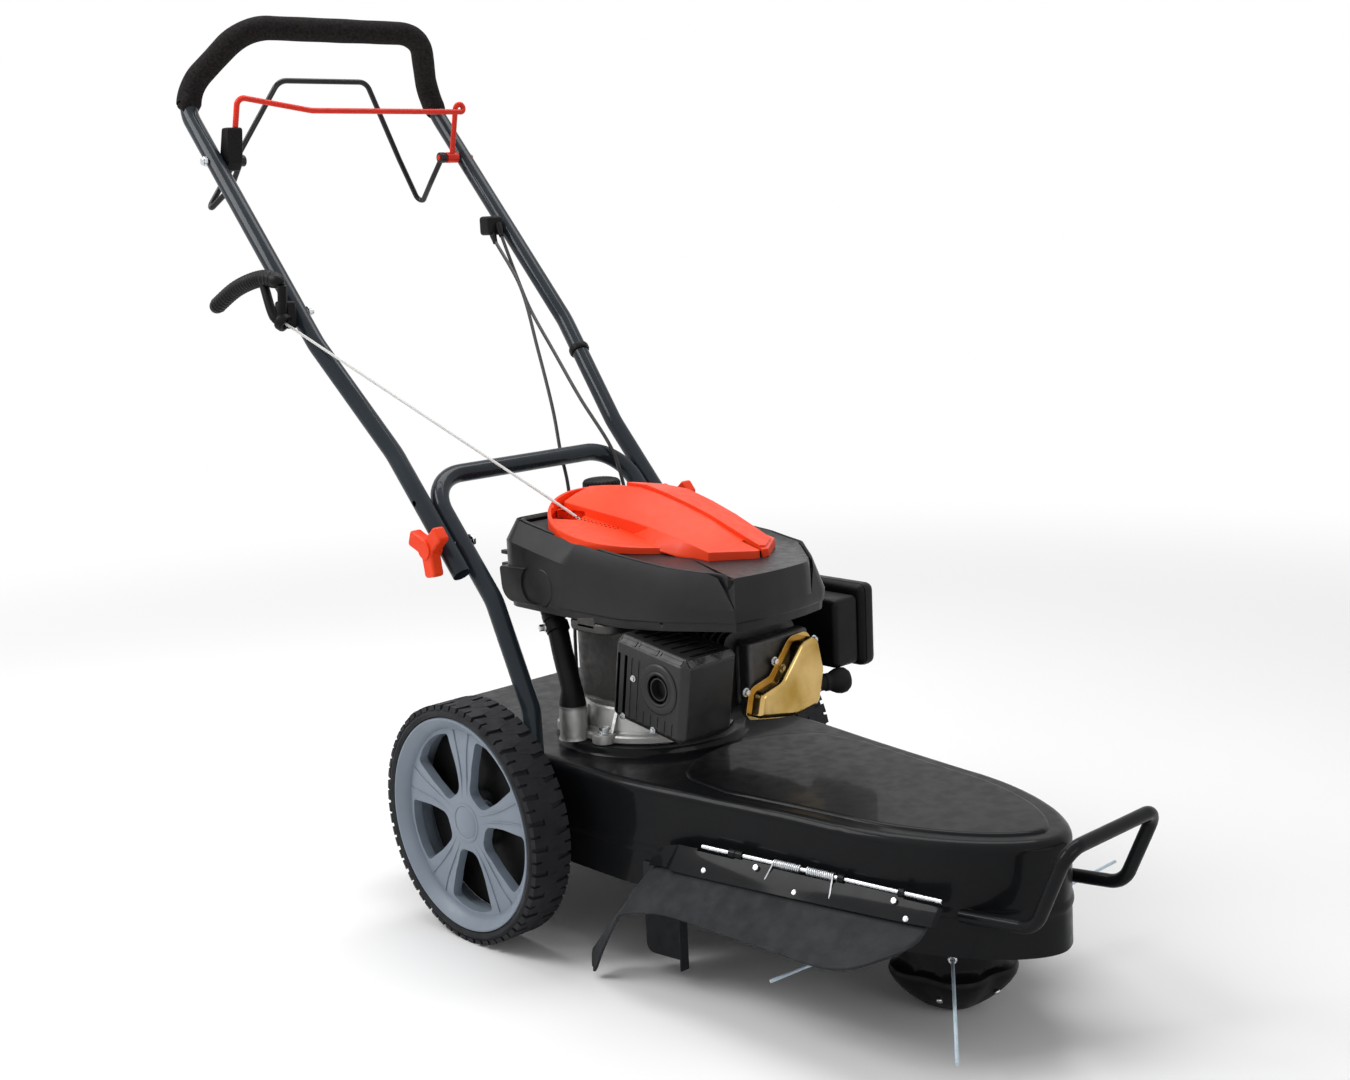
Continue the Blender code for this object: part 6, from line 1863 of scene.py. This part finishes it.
# %% [markdown]
# The small flap behind the side guard is one ply of the same rubber with a second, turned out square to it,
# at its front edge. The left shield is fixed: it lies against the skirt and flares outwards below. The axle
# runs in pressed brackets that are welded to the deck's sides.

# %% Rear flap, left shield and axle brackets
def flap_ply(inner, outer, low):
    """One ply against the skirt, between two distances off it."""
    outline = rounded([(-0.286, low), (-0.228, low), (-0.228, 0.132), (-0.286, 0.132)],
            [0.012, 0.012, 0.003, 0.003])
    rings = [[at(-wall_x(AXLE_Y + y) - off, y, z) for y, z in outline] for off in (inner, outer)]
    return softened(grown(rings), 0.0003, 1)


def left_shield():
    rows = []
    for y, flare, low in ((-0.215, 0.059, 0.06), (-0.335, 0.048, 0.104), (-0.445, 0.043, 0.107),
            (-0.48, 0.038, 0.11), (-0.525, 0.015, 0.122), (-0.59, -0.015, 0.13)):
        wall = wall_x(AXLE_Y + y) + 0.0004
        rows.append(((wall, y, 0.165), (wall, y, 0.14), (DECK_HALF + flare, y, low)))
    return softened(sheet_form(rows, 0.003, 5, 4), 0.0008, 2, 50)


def axle_bracket():
    outline = rounded([(0.506, 0.118), (0.596, 0.118), (0.582, 0.205), (0.52, 0.205)], [0.01] * 4)
    plate = extruded(outline, "X", DECK_HALF + PLAY, DECK_HALF + 0.0043)
    plate = combined(plate, cross_bar(WHEEL_CENTRE, DECK_HALF + 0.002, 0.2, 0.016, 40), "UNION")
    plate = combined(plate, cross_bar(WHEEL_CENTRE, 0.15, 0.25, 0.0085, 24))
    return softened(plate, 0.0006)


front_edge = -wall_x(AXLE_Y - 0.286)
turned_ply = block(at(front_edge - 0.013, -0.2885, 0.012), at(front_edge - PLAY, -0.2862, 0.132), 0.0006)
plies = joined(flap_ply(0.0003, 0.002, 0.02), turned_ply)
dressed(plies, "rear_flap_plies", FLAP, "chassis", ["rear_flap"])
dressed(left_shield(), "left_shield_form", MOULDED, "chassis", ["left_shield"], 50)
bracket = dressed(axle_bracket(), "axle_bracket_left_form", DECK_BLACK, "chassis", ["axle_bracket_left"])
dressed(mirrored_copy(bracket), "axle_bracket_right_form", DECK_BLACK, "chassis", ["axle_bracket_right"])

# %% [markdown]
# ## Trimmer head and lines
#
# The head glides on a wavy bowl that ends above in a lobed flange; the drum that holds the line stands on it.
# The bowl is grown ring by ring, its waves deepest at the rim. Two lengths of nylon line are threaded
# through the drum, and their ends bend down under their own weight.

# %% Head
HEAD_LOBES = 5
HEAD_TURN = radians(-133)
BOWL = ((0.01, 0), (0.02, 0.0004), (0.028, 0.0022), (0.036, 0.0062), (0.045, 0.0122), (0.053, 0.019),
        (0.0605, 0.0262), (0.0665, 0.0335), (0.0712, 0.041), (0.0728, 0.0455), (0.0728, 0.0485),
        (0.0712, 0.0515), (0.064, 0.054), (0.0592, 0.058))
DRUM = ((0.058, 0.061), (0.058, 0.0895), (0.056, 0.0925), (0.048, 0.0945), (0.024, 0.099), (0.0185, 0.102),
        (0.017, 0.106), (0.017, 0.112), (0.0088, 0.112), (0.0088, 0.087), (0.001, 0.0868))
LINE_R = 0.0019
LINES = {
    "a": (Vector((-0.216, -0.174, 0)), Vector((0.216, 0.174, 0)), 0.074),
    "b": (Vector((-0.2, 0.086, 0)), Vector((0.277, -0.03, 0)), 0.082),
}


def head_ring(radius, height, steps=120):
    wave = 0.13 * max(0, min(1, (radius - 0.024) / 0.03)) if height < 0.057 else 0
    ring = []
    for k in range(steps):
        angle = 2 * pi * k / steps
        r = radius * (1 - wave * (0.5 - 0.5 * cos(HEAD_LOBES * (angle - HEAD_TURN))) ** 1.5)
        ring.append(Vector((r * cos(angle), r * sin(angle), height)))
    return ring


def line_route(name):
    """The route of the CAD model: in at one side of the drum, through it and out at the other."""
    start, end, height = LINES[name]
    across = (end - start).normalized() * 0.068
    middle = UP * height
    return [start + UP * 0.066, start * 0.62 - across * 0.22 + UP * (height - 0.003), middle - across,
            middle - across * 0.88, middle, middle + across * 0.88, middle + across,
            end * 0.62 + across * 0.22 + middle, end + UP * (height + 0.006)]


def trimmer_head():
    head = grown([head_ring(r, z) for r, z in (*BOWL, *DRUM)])
    for start, end, height in LINES.values():
        across = (end - start).normalized() * 0.075
        head = combined(head, bar(UP * height - across, UP * height + across, LINE_R + 0.0006, 16))
    return head


def head_screws():
    """A screw in the flank of each lobe, and an eyelet where each line leaves the drum."""
    pieces = []
    for k in range(HEAD_LOBES):
        angle = radians(-84) + 2 * pi * k / HEAD_LOBES
        side = Vector((cos(angle), sin(angle), 0))
        out = (side - UP).normalized()
        place = side * 0.0555 + UP * 0.0262
        pieces.append(bar(place, place + out * 0.0035, 0.0038, 20, 0.0014, 3))
    for start, end, height in LINES.values():
        out = (end - start).normalized()
        for turn in (-1, 1):
            foot = out * turn * 0.057 + UP * height
            ring = [(0.0024, 0), (0.005, 0), (0.005, 0.0025), (0.0042, 0.0035), (0.003, 0.0035),
                    (0.0024, 0.0028)]
            pieces.append(turned_along(ring, foot, out * turn, 20))
    return joined(*pieces)


dressed(trimmer_head(), "head_bowl_and_drum", MOULDED, "spindle", ["trimmer_head"], 40)
dressed(head_screws(), "head_screws_and_eyelets", ZINC, "spindle", ())
for name in LINES:
    route = line_route(name)
    path = smooth_line(route, 0.0045)
    line = dressed(swept(path, LINE_R, 12), "nylon_line_" + name, NYLON, "spindle",
            ["trimmer_line_" + name], 60)
    length = sum((b - a).length for a, b in zip(path, path[1:]))
    tuple(path[0])
    [tuple(p) for p in path]

# %% [markdown]
# ## Starter grip, rope and cables
#
# The starter rope runs from the cover's slot up to an eye on the right tube, where the ribbed grip is
# parked. Two sheathed cables run down from the bracket on the left tube, one to the gearbox and one to the
# engine brake. Each is a cord of its own length on the CAD model's route.

# %% Routes
ROPE_R = 0.00175
CABLE_R = 0.0025
PULL = (ROPE_EYE - ROPE_SLOT).normalized()
DRIVE_ROUTE = ((0.184, 0.437, 0.869), (0.178, 0.42, 0.845), (0.16, 0.342, 0.776), (0.13, 0.274, 0.692),
        (0.103, 0.215, 0.612), (0.084, 0.18, 0.556), (0.077, 0.158, 0.5), (0.066, 0.144, 0.4),
        (0.055, 0.136, 0.3), (0.05, 0.13, 0.24), (0.05, 0.13, 0.2253))
BRAKE_ROUTE = ((0.19, 0.43, 0.88), (0.1855, 0.412, 0.85), (0.178, 0.372, 0.79), (0.17, 0.334, 0.742),
        (0.155, 0.267, 0.683), (0.142, 0.2, 0.622), (0.137, 0.136, 0.56), (0.135, 0.112, 0.515),
        (0.137, 0.103, 0.46), (0.133, 0.086, 0.405), (0.115, 0.04, 0.374), (0.095, 0.01, 0.366),
        (0.0705, -0.006, 0.364))


def hung_cord(name, route, radius, material, node):
    """A cord on a route from its upper end down."""
    path = smooth_line(route, 2.5 * radius)
    obj = dressed(swept(path, radius, 12), name, material, None, [node], 60)
    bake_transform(obj)
    length = sum((b - a).length for a, b in zip(path, path[1:]))
    tuple(path[0])
    [tuple(p) for p in path]


# %% Grip, guide and bracket
def ribbed_grip():
    x = ROPE_EYE.x
    line = smooth_line([at(x - 0.001, 0.322, 0.8066), at(x - 0.0035, 0.364, 0.8126),
            at(x - 0.0045, 0.43, 0.7996), at(x - 0.0065, 0.495, 0.7716)], 0.0013)
    shares = []
    for k in range(len(line)):
        end = min(1, (min(k, len(line) - 1 - k) * 0.0013 + 0.0004) / 0.009)
        rib = 0.09 * max(0, sin(2 * pi * k / 4)) if end == 1 else 0
        shares.append(sqrt(end * (2 - end)) * (1 + rib))
    crossbar = swept(line, 0.0102, 28, radii=shares)
    stem = swept(smooth_line([ROPE_EYE + PULL * 0.002, ROPE_EYE + PULL * 0.016,
            at(x - 0.0035, 0.364, 0.8066)], 0.004), 0.0062, 20)
    front_leg = swept(smooth_line([ROPE_EYE + PULL * 0.004, at(x, 0.327, 0.78),
            at(x - 0.001, 0.3225, 0.803)], 0.004), 0.0062, 20)
    return joined(crossbar, stem, front_leg)


def rope_guide():
    """A clamp block against the tube, with a flared eye for the rope."""
    side = -(UPPER_HALF + TUBE_R + PLAY)
    body = block(on_handle(GUIDE_S - 0.026, side - 0.015), on_handle(GUIDE_S + 0.022, side), 0.004, 4)
    ring = [(0.0055, -0.004), (0.0075, -0.0062), (0.011, -0.0055), (0.0122, -0.003), (0.0122, 0.003),
            (0.011, 0.0055), (0.0075, 0.0062), (0.0055, 0.004)]
    body = combined(body, bar(ROPE_EYE - PULL * 0.05, ROPE_EYE + PULL * 0.05, 0.0075, 24))
    return joined(body, turned_along(ring, ROPE_EYE, PULL, 40))


def cable_bracket():
    seat = on_handle(0.457, UPPER_HALF - TUBE_R - PLAY)
    body = block(seat + Vector((-0.028, -0.014, -0.016)), seat + Vector((0, 0.012, 0.012)), 0.005, 4)
    pieces = [body]
    for route in (DRIVE_ROUTE, BRAKE_ROUTE):
        top, below = (at(*place) for place in route[:2])
        ahead = (below - top).normalized()
        ring = [(0.0026, 0), (0.005, 0), (0.005, 0.01), (0.0042, 0.014), (0.0036, 0.022), (0.0026, 0.022)]
        pieces.append(turned_along(ring, top + ahead * 0.014, ahead, 24))
    return joined(*pieces)


def tube_clip(s, x_low, x_high):
    """A band round the left tube where the cables pass."""
    share = (s - 0.078) / (0.2655 - 0.078)
    ahead = (on_handle(0.2655, UPPER_HALF) - on_handle(0.078, UPPER_HALF_LOW)).normalized()
    foot = on_handle(0.078, UPPER_HALF_LOW).lerp(on_handle(0.2655, UPPER_HALF), share)
    ring = [(x_low, 0), (x_high, 0), (x_high + 0.0008, 0.002), (x_high + 0.0008, 0.007), (x_high, 0.009),
            (x_low, 0.009)]
    return turned_along(ring, foot, ahead, 40)


dressed(ribbed_grip(), "starter_grip_ribbed", MOULDED, "grip", ["starter_grip"], 40)
dressed(rope_guide(), "rope_guide_and_eye", MOULDED, "handle", ["rope_guide"], 40)
inboard = -(UPPER_HALF - TUBE_R)
guide_bolt = joined(bar(on_handle(GUIDE_S, inboard - 0.004), on_handle(GUIDE_S, inboard + 0.01), 0.004, 20,
        0.0008), hex_bolt(on_handle(GUIDE_S, inboard + 0.0004), Vector((1, 0, 0)), 0.0055, 0.0055))
dressed(guide_bolt, "guide_bolt", ZINC, "handle", ())
dressed(cable_bracket(), "cable_bracket_and_ferrules", MOULDED, "handle", ["cable_bracket"],
        40)
dressed(tube_clip(0.205, TUBE_R + 0.0002, TUBE_R + 0.002), "tube_clip", MOULDED, "handle", ())

# %% Rope and cables
stub = dressed(swept([ROPE_EYE + PULL * (0.0022 * k - 0.006) for k in range(9)], ROPE_R, 12),
        "starter_rope_end", ROPE, None, (), 60)
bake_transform(stub)
rope_route = [ROPE_EYE + PULL * 0.001, ROPE_SLOT.lerp(ROPE_EYE, 0.5), ROPE_SLOT,
        ROPE_SLOT - PULL * 0.018 - UP * 0.006]
hung_cord("starter_rope_run", rope_route, ROPE_R, ROPE, "starter_rope")
for name, route in (("drive", DRIVE_ROUTE), ("brake", BRAKE_ROUTE)):
    points = [at(*place) for place in route]
    hung_cord(name + "_cable_sheath", points, CABLE_R, CABLE, name + "_cable")

# %% Sizes
bpy.ops.object.select_all(action="DESELECT")
dressed_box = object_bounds()
print("boxes:", [[round(x, 4) for x in corner] for corner in (*cad_box, *dressed_box)])
